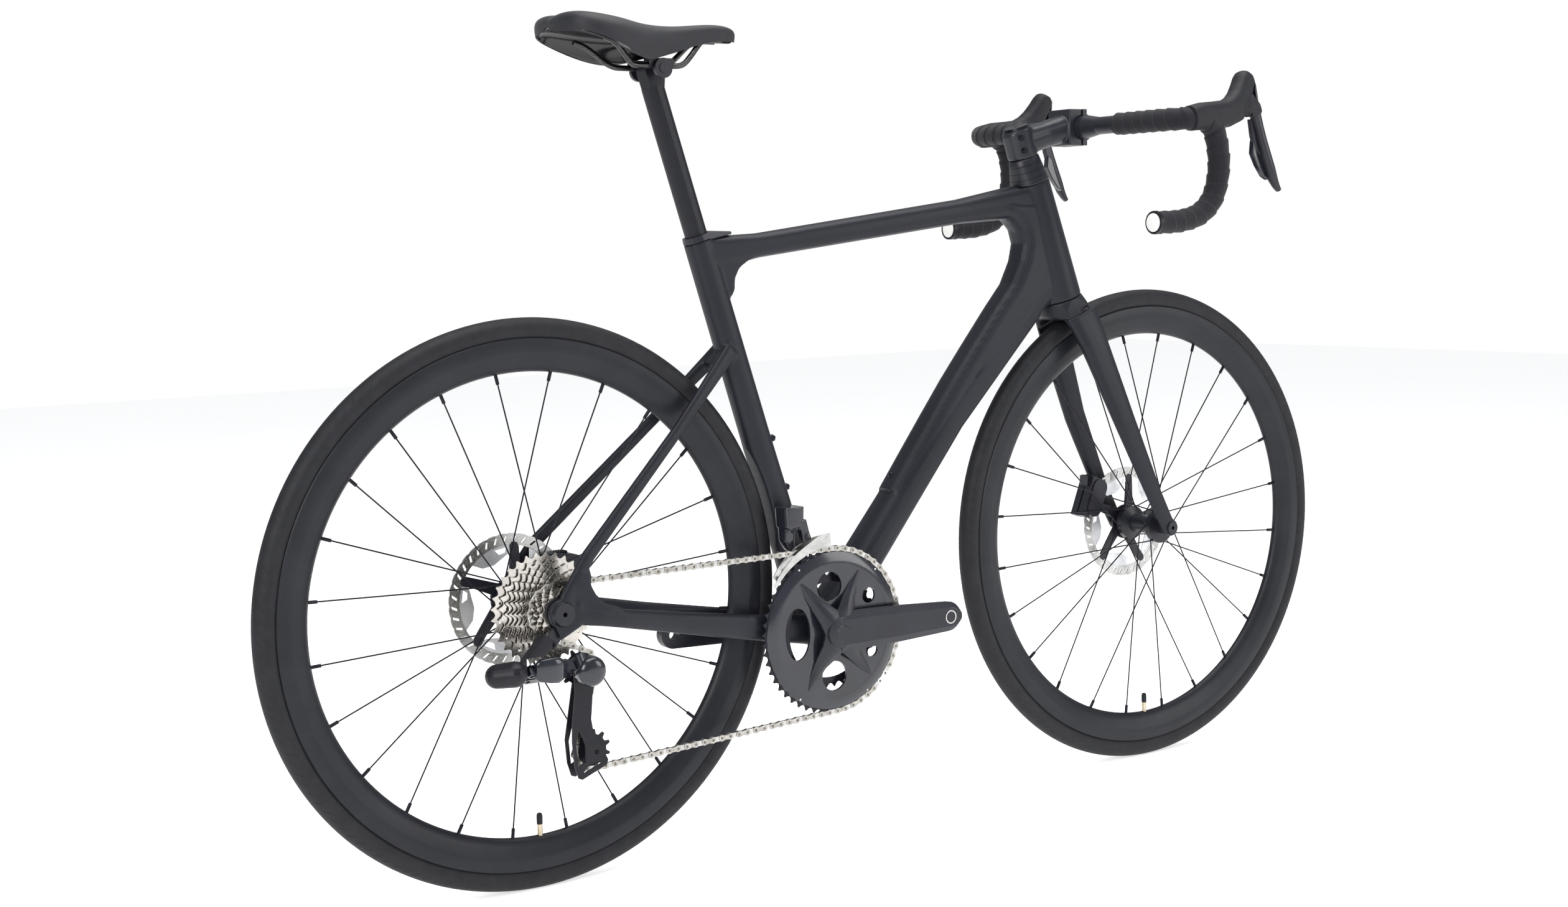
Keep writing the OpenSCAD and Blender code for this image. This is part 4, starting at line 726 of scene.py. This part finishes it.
def crank():
    """Right arm, its pedal eye, and four uneven spider arms over the ring."""
    s = Shape()
    star = Shape()
    arm_y = -(ring_y + 16.5)
    centre = Vector((bb.x, arm_y, bb.z))
    end = Vector((bb.x + crank_len, -71.5, bb.z))
    rows = []
    for t in (0, 0.08, 0.2, 0.4, 0.55, 0.7, 0.85, 0.95, 1.0, 1.035, 1.065, 1.088, 1.102, 1.11):
        p = centre.lerp(end, t)
        h = 26 - 4 * min(t, 0.55) - 9 * max(0, min(t, 1) - 0.55)
        if t > 1:
            h *= math.sqrt(max(0.02, 1 - ((t - 1) / 0.112) ** 2))
        half = 8.2 - 1.7 * min(1, t)
        bevel_h = h * 0.62
        rows.append([p + Vector((0, y, z)) for y, z in
            ((-half, -bevel_h), (-half, bevel_h), (-half * 0.3, h), (half, h * 0.97),
            (half, -h * 0.97), (-half * 0.3, -h))])
    s.skin(rows)
    s.make("crank_arm_right", CRANK, "crankset", "crank_alloy", stands=("crank_right",), bevel=1.0,
        angle=24)
    for a in (62, 128, 239, 311):
        rows = []
        for r, w, y, d in ((8, 20, arm_y - 7, 12), (26, 15, arm_y - 5.6, 11), (48, 9.5, -ring_y - 12, 8),
                (66, 7, -ring_y - 9.2, 5.5), (84, 2.2, -ring_y - 6.6, 3)):
            ax, az = polar(1, a)
            base = Vector((bb.x + r * ax, y, bb.z + r * az))
            n = Vector((-az, 0, ax))
            rows.append([base + n * w + Vector((0, d * 0.45, 0)), base + n * w * 0.3, base - n * w * 0.3,
                base - n * w + Vector((0, d * 0.45, 0)), base - n * w * 0.9 + Vector((0, d, 0)),
                base + n * w * 0.9 + Vector((0, d, 0))])
        star.skin(rows)
    star.make("crank_star_arms", CRANK, "crankset", "crank_alloy", bevel=0.8, angle=24)
    boss = Shape().lathe([(0.2, -1.2), (9, -1.2), (10, -0.2), (15, 0.4), (20, 1.6), (21, 4), (21, 14)],
        (bb.x, arm_y - 8.2, bb.z), 48, cap=True)
    boss.make("crank_boss", CRANK, "crankset", "crank_alloy", angle=24)
    eye = Shape().lathe([(7.2, -7.1), (9, -7.1), (9, 6), (7.2, 6)], (end.x, end.y, end.z), 32)
    eye.make("pedal_eye_right", STEEL, "crankset", "crank_alloy", bevel=0.3)


crank()


# ---------------------------------------------------------------- cockpit

def bend(i):
    across = (0.18, 0.55, 0.86, 1, 0.96, 0.78, 0.44, 0, -0.4, -0.72)[i]
    down = (0, -0.005, -0.1, -0.36, -0.6, -0.8, -0.93, -0.985, -0.998, -1)[i]
    return Vector((bar_x + 68 * across, drop, bar_z + 135 * down))


drop = (low("bar_end_plugs").y + 15.5) * -1
tube_path = [Vector((bar_x, 92, bar_z)), Vector((bar_x, 118, bar_z)), Vector((bar_x, 144, bar_z)),
    Vector((bar_x, drop - 42, bar_z)),
    Vector((bar_x + 3, drop - 18, bar_z)), Vector((bar_x + 10, drop - 4, bar_z))] + [
    bend(i) for i in range(1, 10)]


def spline(points, n):
    out = []
    for i in range(len(points) - 1):
        a, b, c, d = points[max(i - 1, 0)], points[i], points[i + 1], points[min(i + 2, len(points) - 1)]
        for j in range(n):
            t = j / n
            out.append(0.5 * (2 * b + (c - a) * t + (2 * a - 5 * b + 4 * c - d) * t * t
                + (3 * b - a - 3 * c + d) * t ** 3))
    return out + [points[-1]]


def wrap(side):
    """Cushioned tape wound round the bar: each turn overlaps the one before and leans over it."""
    path = spline(tube_path, 24)
    if side < 0:
        path = [Vector((p.x, -p.y, p.z)) for p in path]
    lengths = [0]
    for a, b in zip(path, path[1:]):
        lengths.append(lengths[-1] + (b - a).length)
    turn, n, rows, up = 18.5, 36, [], Vector((0, 0, 1))
    for i, p in enumerate(path):
        a, b = path[max(i - 1, 0)], path[min(i + 1, len(path) - 1)]
        t = (b - a).normalized()
        up = (up - t * up.dot(t)).normalized()
        w = t.cross(up)
        row = []
        for k in range(n):
            f = (lengths[i] / turn + side * k / n) % 1
            r = 14 + 1.5 * (1 - f) ** 1.3 if f > 0.06 else 14 + 1.5 * f / 0.06
            row.append(p + (up * math.cos(2 * math.pi * k / n) + w * math.sin(2 * math.pi * k / n)) * r)
        rows.append(row)
    Shape().skin(rows).make("bar_tape_" + ("left" if side > 0 else "right"), TAPE, "steering", "bar_tape",
        stands=("bar_tape",) if side > 0 else (), angle=70)


wrap(1)
wrap(-1)


def both(make):
    """The same shape for the right and the left side, made for y below 0."""
    return make(), make().mirrored()


hood_y = -drop


def hood():
    """Rubber grip that flows off the bar into a tall horn."""
    x, z, y = bar_x, bar_z, hood_y
    spine = [(14, 0, 15.8, 16.5), (34, 3, 16, 18), (58, 5, 15.5, 18), (80, 7, 15, 18.5), (98, 14, 15, 19.5),
        (111, 27, 14.8, 18),
        (119, 41, 14.3, 15.5), (125, 52, 13.8, 14.5), (128, 59, 12, 12), (129.5, 62.5, 8, 8)]
    rows = [Vector((x + a, y + 0.2 * max(0, b - 7), z + b)) for a, b, w, d in spine]
    s = Shape().sweep(rows, [(d, w) for a, b, w, d in spine], 24, 2.5)
    s.merge(Shape().sweep([Vector((x + 118, y - 2, z + 22)), Vector((x + 134, y - 2, z + 13)),
        Vector((x + 140, y - 2, z + 8))], [(15, 11), (11, 9.5), (6, 8)], 20, 2.6))
    return soften(s, 1.1, 7)


def nameplate():
    """Plain glossy panel down the front of the horn."""
    x, z, y = bar_x, bar_z, hood_y
    spine = [(139.5, 55, 6), (138.5, 44, 8.5), (138, 30, 9), (138.5, 18, 8)]
    return Shape().sweep([Vector((x + a, y + 0.2 * max(0, b - 7), z + b)) for a, b, w in spine],
        [(1.6, w) for a, b, w in spine], 16, 3)


def lever_blade():
    """Curved blade that flares towards its tip."""
    p = Vector((bar_x + 132, hood_y - 2, bar_z + 18))
    spine = [(-2, 3, 8, 8), (4, -12, 7, 7), (10, -28, 6.2, 6.5), (16, -46, 6.4, 7), (23, -66, 7, 8),
        (31, -84, 6.6, 8), (38, -98, 5.4, 6.5), (44, -107, 4.2, 5), (49, -112.5, 3, 4)]
    return Shape().sweep([p + Vector((a, 0, b)) for a, b, d, w in spine], [(d, w) for a, b, d, w in spine],
        20, 2.8)


def pivot_pins():
    p = Vector((bar_x + 132, hood_y - 2, bar_z + 18))
    s = Shape().disc(p, 4.2, 19, 20)
    s.merge(Shape().disc(p + Vector((-6, 0, -12)), 2.6, 15, 16))
    return s


def paddle(points, y, t):
    p = Vector((bar_x + 132, 0, bar_z + 18))
    return Shape().plate([(p.x + a, p.z + b) for a, b in points], hood_y + y, t)


UPPER = [(-3, -17), (5, -19), (11, -36), (15, -54), (16, -66), (7, -57), (1, -40)]
LOWER = [(4, -44), (12, -50), (19, -70), (27, -88), (33, -99), (23, -94), (11, -79), (2, -63)]
for side, forms in (("right", 0), ("left", 1)):
    both(hood)[forms].make("hood_" + side, HOOD, "steering", "hood_rubber",
        stands=("lever_hoods",) if forms == 0 else (), angle=180)
    both(nameplate)[forms].make("hood_panel_" + side, GLOSS, "steering", "gloss_body", angle=50)
    both(pivot_pins)[forms].make("lever_pins_" + side, BLACK_STEEL, "steering", "black_steel", bevel=0.4)
    both(lever_blade)[forms].make("lever_blade_" + side, ALLOY_BLACK, "lever_" + side, "lever_blade",
        stands=("brake_lever_" + side,), angle=60)
    both(lambda: paddle(UPPER, 3, 8))[forms].make("upshift_paddle_" + side, CRANK, "upshift_button_" + side,
        "shift_paddle",
        stands=("upshift_" + side,), bevel=1.6)
    both(lambda: paddle(LOWER, 4.5, 9))[forms].make("downshift_paddle_" + side, GLOSS,
        "downshift_button_" + side, "shift_paddle",
        stands=("downshift_" + side,), bevel=1.8)

stem_raw = cad_shape("stem")
clamp_mid, bar_mid = head_top + steer_up * 56, Vector((bar_x - 15, 0, bar_z))
stem_raw.merge(Shape().sweep([clamp_mid, clamp_mid.lerp(bar_mid, 0.5), bar_mid],
    [(19.5, 16.5), (17.5, 16), (19, 20)], 28, 2.8))
stem_raw.merge(Shape().sweep([head_top + steer_up * k for k in (36.8, 40, 70, 74.5, 76.4)],
    [(21, 16.5), (22, 17.5), (22, 17.5), (20.5, 16), (16, 12.5)], 32, 2.4))
stem = soften(stem_raw, 1.1, 7)
stem.make("stem_body", CRANK, "steering", "stem_alloy", stands=("stem",), angle=180)
spacer_rows = [(0.4, 0.8), (1.4, 0)]
for k in (9, 18, 27):
    spacer_rows += [(k - 0.5, 0), (k - 0.2, 0.6), (k + 0.2, 0.6), (k + 0.5, 0)]
spacer_rows += [(34.6, 0), (35.8, 0.9)]
spacers = Shape().sweep([head_top + steer_up * k for k, inset in spacer_rows],
    [(27 - 4.8 * k / 36 - inset, 27 - 9.3 * k / 36 - inset) for k, inset in spacer_rows], 64,
    2.1)
spacers.make("headset_spacer_stack", ALLOY_BLACK, "steering", "black_anodised", stands=("headset_spacers",),
    angle=40)
cap = Shape().lathe([(0.3, 3.4), (9, 3.4), (12, 2.6), (14, 0.8), (14, -1.5), (0.3, -1.5)],
    head_top + steer_up * 76, 40, steer_up)
cap.make("stem_top_cap", GLOSS, "steering", "black_anodised", angle=30)
rims, faces = Shape(), Shape()
for side in (-1, 1):
    end = Vector((low("bar_end_plugs").x + 0.4, side * drop, bend(9).z))
    rims.lathe([(12.4, 0), (12.8, -0.4), (15.2, 0.6), (15.4, 5), (12.4, 5)], end, 40, (1, 0, 0))
    faces.lathe([(0.2, -1.3), (10, -1.3), (12, -0.9), (12.3, 0.2)], end, 40, (1, 0, 0), cap=True)
faces.make("bar_plug_faces", WHITE, "steering", "plug_white", angle=40)
rims.make("bar_plug_rims", PLASTIC, "steering", "plug_white", angle=40)


# ---------------------------------------------------------------- front and rear derailleurs

def arc_strip(r0, lo, hi, widths, y, t):
    """Curved cage plate above the chainring whose depth follows widths."""
    n = len(widths)
    angles = [lo + (hi - lo) * k / (n - 1) for k in range(n)]
    edge = [polar(r0 + w, a) for a, w in zip(angles, widths)] + [polar(r0, a) for a in angles[::-1]]
    return Shape().plate(edge, y, t, (bb.x, bb.z))


def front_derailleur():
    cage_r = pitch_r(big) + tooth_h + 2
    out_y, in_y = low("front_derailleur_cage").y + 0.9, high("front_derailleur_cage").y - 0.9
    s = arc_strip(cage_r, 92, 144, [17, 17.5, 15, 12.5, 11, 10, 9, 8, 7, 6, 4.5], out_y, 1.4)
    s.merge(arc_strip(cage_r - 5, 94, 138, [19, 19, 18, 17, 16, 14, 12, 9], in_y, 1.4))
    s.make("front_cage_plates", STEEL, "front_cage", "cage_silver", stands=("front_derailleur_cage",),
        bevel=0.5)
    lo, hi = low("front_derailleur_body"), high("front_derailleur_body")
    c = (lo + hi) / 2
    top = hi.z
    raw = Shape().sweep([Vector((c.x - 3, c.y, top)), Vector((c.x - 3, c.y, top - 24)),
        Vector((c.x - 1, c.y, top - 31))], [(15, 15), (14, 15), (9, 11)], 24, 5)
    raw.merge(Shape().sweep([Vector((c.x + 8, c.y - 8, top - 18)), Vector((c.x + 12, c.y - 9, top - 34)),
        Vector((c.x + 14, c.y - 10, top - 44))], [(6, 7), (6, 6), (7, 6)], 18, 4))
    raw.merge(Shape().sweep([Vector((c.x - 9, c.y, top - 24)), Vector((c.x - 8, c.y, top - 42)),
        Vector((c.x - 4, c.y, top - 54))], [(7, 11), (8, 10), (5, 8)], 18, 3.5))
    soften(raw, 0.9, 3).make("front_derailleur_case", GLOSS, "frame", "gloss_body",
        stands=("front_derailleur_body",), angle=180)
    cover = Shape().plate([(c.x - 16, top - 12), (c.x + 9, top - 12), (c.x + 12, top - 3),
        (c.x + 8, top - 0.2), (c.x - 12, top - 0.2), (c.x - 17, top - 4)], lo.y + 3, 5)
    cover.make("front_derailleur_cover", PLASTIC, "frame", "gloss_body", bevel=1.2)
    bolts = Shape()
    for x, z in ((c.x + 13, top - 36), (c.x - 11, top - 30), (c.x + 2, top - 28)):
        bolts.lathe([(0.2, -1.0), (1.4, -1.0), (1.5, -2.4), (3.0, -2.4), (3.2, -1.6), (3.2, 2)],
            (x, lo.y + 4, z), 20, cap=True)
    bolts.make("front_derailleur_bolts", BLACK_STEEL, "frame", "black_steel", angle=30)


def rear_cage():
    """Long plates that join the two jockey wheels, with the open triangle at the foot."""
    g, t = guide, tension
    rim = [(g.x - 15, g.z - 4), (g.x - 14, g.z - 26), (g.x - 19, g.z - 60), (t.x - 32, t.z + 16),
        (t.x - 30, t.z - 12), (t.x - 25, t.z - 28), (t.x - 20, t.z - 30),
        (t.x + 13, t.z - 17), (t.x + 15, t.z - 11), (t.x + 5, t.z + 9), (t.x - 3, t.z + 22),
        (t.x - 6, t.z + 40), (g.x + 9, g.z - 30), (g.x + 14, g.z - 8),
        (g.x + 13, g.z + 6), (g.x + 6, g.z + 13), (g.x - 6, g.z + 13), (g.x - 13, g.z + 7)]
    window = [(t.x - 25, t.z - 14), (t.x - 27, t.z + 14), (t.x - 22, t.z + 30), (t.x - 15, t.z + 10),
        (t.x - 15, t.z - 9)]
    foot = [(t.x - 19, t.z - 23), (t.x - 12, t.z - 14.5), (t.x + 2, t.z - 11), (t.x + 5, t.z - 14)]
    s = Shape().plate(rim, low("derailleur_cage").y + 1.2, 2.4, holes=[window, foot])
    s.make("rear_cage_outer", PLASTIC, "cage", "cage_black", stands=("derailleur_cage",), bevel=0.5)
    inner = Shape().plate(rim[3:12] + [(g.x + 7, g.z - 12), (g.x - 7, g.z - 12)],
        high("derailleur_cage").y - 1.0, 2.0, holes=[window, foot])
    inner.make("rear_cage_inner", PLASTIC, "cage", "cage_black", bevel=0.4)
    pins = Shape()
    span = high("derailleur_cage").y - low("derailleur_cage").y
    y = (high("derailleur_cage").y + low("derailleur_cage").y) / 2
    for c in (g, t):
        pins.disc((c.x, y, c.z), 2.6, span, 16)
        pins.lathe([(0.2, -0.6), (1.6, -0.6), (1.7, 0.9), (3.6, 0.9), (4, 0), (4, 1.2)],
            (c.x, low("derailleur_cage").y, c.z), 20, cap=True)
    pins.make("rear_cage_axles", BLACK_STEEL, "cage", "black_steel", angle=30)


def rear_covers():
    """Gloss cover of the outer link and the domed knuckle in front of it."""
    lo, hi = low("derailleur_outer_link"), high("derailleur_outer_link")
    y, z = lo.y + 2.5, guide.z + 11
    link = Shape().sweep([Vector((x, y + d, z + e))
        for x, d, e in ((lo.x + 8, 1, 1), (lo.x + 14, 0, 1), (lo.x + 28, -1.5, 0), (hi.x - 24, -1, -1),
        (hi.x - 14, 1.5, -1))],
        [(8, 2.5), (13, 4), (15, 5.5), (15, 5.5), (10, 3.5)], 28, 2.7)
    link.make("rear_link_cover", GLOSS, "outer_link", "gloss_body", angle=180)
    k = low("derailleur_knuckle")
    dome = Shape().lathe([(0.2, -4.6), (7, -4.4), (12.5, -3.2), (16, -1), (17.6, 2), (18, 5), (18, 10)],
        (guide.x - 1, k.y + 1, guide.z + 2), 48, cap=True)
    dome.make("rear_knuckle_dome", GLOSS, "knuckle", "gloss_body", angle=50)


front_derailleur()
rear_cage()
rear_covers()


# ---------------------------------------------------------------- small parts on the frame

def dome_bolt(at, out):
    return Shape().lathe([(5.4, -1), (5.4, 0.8), (4.2, 1.6), (4, 3), (3, 4.6), (1.5, 5.2), (1.4, 3.8),
        (0.2, 3.8)], at, 24, out, cap=True)


def bottle_bolts():
    along = Vector((0.656, 0, 0.754))
    out = Vector((-0.754, 0, 0.656))
    s = Shape()
    for k in (0, 64):
        s.merge(dome_bolt(Vector((bb.x + 137, 0, bb.z + 182.5)) + along * k, out))
    s.make("down_tube_bolts", BLACK_STEEL, "frame", "black_steel", angle=40)


bottle_bolts()


def caliper_fins(node_name, body):
    """Thin cooling fins on top of one brake."""
    lo, hi = low(node_name), high(node_name)
    s = Shape()
    c = (lo + hi) / 2
    for k in range(6):
        x = c.x - 9 + 3.4 * k
        s.plate([(x, hi.z - 14), (x + 1.3, hi.z - 14), (x + 1.3, hi.z + 0.2), (x, hi.z + 0.2)], c.y, 16)
    s.make(node_name + "_fins", ALLOY_BLACK, body, "brake_alloy", bevel=0.2)


caliper_fins("front_caliper", "steering")
caliper_fins("rear_caliper", "frame")


# ---------------------------------------------------------------- saddle

SADDLE = [(-259, 20, -11, 9), (-255, 40, -5, 14), (-248, 56, -1.5, 20), (-236, 66, 0, 26),
    (-218, 70, -1, 32), (-198, 70, -3, 38), (-180, 66, -5, 43),
    (-162, 59, -8, 45), (-146, 50, -10, 44), (-130, 41, -11, 39), (-112, 33.5, -11.5, 33),
    (-92, 27.5, -11, 28), (-70, 23.5, -9, 22),
    (-48, 21, -7, 18.5), (-30, 19, -6.5, 16), (-15, 16, -8, 13.5), (-5, 11, -11.5, 10),
    (-0.5, 5, -15.5, 6)]
nose_x, saddle_top = high("saddle").x, high("saddle").z - 1


def saddle_row(x, half, rise, fall, inset=0.0, n=30):
    """One cross-section: crowned top with a shallow channel, rolling over into the side wings."""
    row = []
    thick = 7.5 - inset
    for k in range(n + 1):
        u = -1 + 2 * k / n
        roll = abs(u) ** 3.2
        dip = 2.6 * math.exp(-(u / 0.16) ** 2) * min(1, half / 30)
        row.append(Vector((nose_x + x, (half - inset) * math.sin(u * math.pi / 2) * (1 - 0.06 * roll),
            saddle_top + rise - inset - fall * 0.92 * roll - dip)))
    under = []
    for k in range(n, -1, -1):
        u = -1 + 2 * k / n
        roll = abs(u) ** 3.2
        under.append(Vector((nose_x + x, (half - inset - 2.4) * math.sin(u * math.pi / 2)
            * (1 - 0.06 * roll), saddle_top + rise - thick - fall * (0.86 * roll + 0.06))))
    return row + under


def saddle():
    rows = [saddle_row(*r) for r in SADDLE]
    pad = Shape().skin(rows).make("saddle_pad", COVER, "seat", "saddle_cover", stands=("saddle",),
        angle=180)
    sub = pad.modifiers.new("round", "SUBSURF")
    sub.levels = sub.render_levels = 2
    shell_rows = []
    for x, half, rise, fall in SADDLE[1:-2]:
        z0 = saddle_top + rise
        row = [Vector((nose_x + x, (half - 4) * math.sin(u * math.pi / 2),
            z0 - 9 - (fall - 4) * 0.9 * abs(u) ** 3)) for u in [k / 8 - 1 for k in range(17)]]
        row += [Vector((nose_x + x, (half - 6) * math.sin(u * math.pi / 2),
            z0 - 12.5 - (fall - 6) * 0.9 * abs(u) ** 3)) for u in [1 - k / 8 for k in range(17)]]
        shell_rows.append(row)
    shell_piece = Shape().skin(shell_rows).make("saddle_shell", SHELL, "seat", "saddle_cover", angle=180)
    sub = shell_piece.modifiers.new("round", "SUBSURF")
    sub.levels = sub.render_levels = 1
    rails = Shape()
    rail_z = low("saddle").z + 3.6
    for side in (-1, 1):
        line = [(-204, 37, 30), (-192, 36, 26), (-180, 33, 18), (-168, 28, 7), (-158, 23, 1), (-146, 22, 0),
            (-120, 22, 0), (-98, 22, 0), (-86, 21, 3),
            (-74, 18, 13), (-62, 14.5, 25), (-54, 12, 31), (-40, 9.5, 34), (-24, 8, 34)]
        rails.sweep(spline([Vector((nose_x + x, side * y, rail_z + z)) for x, y, z in line], 4), 3.5, 14,
            up=(0, 0, 1))
    rails.make("saddle_rails", TITANIUM, "seat", "black_steel", angle=60)
    nose = Shape().plate([(nose_x - 58, saddle_top - 26), (nose_x - 20, saddle_top - 24),
        (nose_x - 14, saddle_top - 14), (nose_x - 62, saddle_top - 14)], 0, 26)
    nose.make("saddle_rail_socket", SHELL, "seat", "saddle_cover", bevel=2)


saddle()


# ---------------------------------------------------------------- room, light and camera

def room():
    floor = Shape().plate([(-9000, -9000), (9000, -9000), (9000, 9000), (-9000, 9000)], 0, 2)
    floor.v = [Vector((p.x, p.z, p.y - 1.05)) for p in floor.v]
    mesh = bpy.data.meshes.new("floor")
    mesh.from_pydata([tuple(p * MM) for p in floor.v], [], floor.f)
    mat = material("floor_white", (0.86, 0.86, 0.86), (0.88, 0.88, 0.88), 0.9, scale=2, bump=0.0)
    mat.node_tree.nodes["Principled BSDF"].inputs["Emission Color"].default_value = (1, 1, 1, 1)
    mat.node_tree.nodes["Principled BSDF"].inputs["Emission Strength"].default_value = 0.58
    mesh.materials.append(mat)
    o = bpy.data.objects.new("floor", mesh)
    bpy.context.scene.collection.objects.link(o)
    world = bpy.data.worlds.new("studio")
    bpy.context.scene.world = world
    world.use_nodes = True
    t = world.node_tree
    sky = t.nodes["Background"]
    sky.inputs["Strength"].default_value = 0.42
    seen = t.nodes.new("ShaderNodeBackground")
    seen.inputs["Color"].default_value = (1, 1, 1, 1)
    sky.inputs["Color"].default_value = (0.96, 0.98, 1.0, 1)
    ray, mix = t.nodes.new("ShaderNodeLightPath"), t.nodes.new("ShaderNodeMixShader")
    t.links.new(ray.outputs["Is Camera Ray"], mix.inputs[0])
    t.links.new(sky.outputs[0], mix.inputs[1])
    t.links.new(seen.outputs[0], mix.inputs[2])
    t.links.new(mix.outputs[0], t.nodes["World Output"].inputs["Surface"])
    bpy.context.scene.view_settings.view_transform = "Standard"


def softbox(name, at, target, size, power):
    light = bpy.data.lights.new(name, "AREA")
    light.shape = "RECTANGLE"
    light.size, light.size_y = size
    light.energy = power
    o = bpy.data.objects.new(name, light)
    bpy.context.scene.collection.objects.link(o)
    o.location = at
    o.rotation_euler = (Vector(target) - Vector(at)).to_track_quat("-Z", "Y").to_euler()


def camera():
    data = bpy.data.cameras.new("camera")
    data.lens, data.sensor_width = 46.67, 36
    data.shift_x, data.shift_y = -0.0019, -0.0129
    o = bpy.data.objects.new("camera", data)
    bpy.context.scene.collection.objects.link(o)
    az, el, roll = (math.radians(v) for v in (-34.255, 5.297, -1.422))
    right = Vector((math.cos(az), math.sin(az), 0))
    back = Vector((math.sin(az) * math.cos(el), -math.cos(az) * math.cos(el), math.sin(el)))
    up = back.cross(right)
    right, up = right * math.cos(roll) + up * math.sin(roll), up * math.cos(roll) - right * math.sin(roll)
    place = Matrix((right, up, back)).transposed().to_4x4()
    place.translation = Vector((-1.5779, -2.1331, 0.7565))
    o.matrix_world = place
    bpy.context.scene.camera = o


room()
softbox("overhead", (0.2, -0.3, 3.2), (0, 0, 0.5), (3.2, 2.2), 90)
softbox("key_left", (-3.4, -2.2, 2.2), (0, 0, 0.6), (2.2, 2.0), 90)
softbox("fill_right", (2.8, -3.0, 1.6), (0.2, 0, 0.6), (1.6, 2.2), 45)
camera()

bpy.context.view_layer.update()
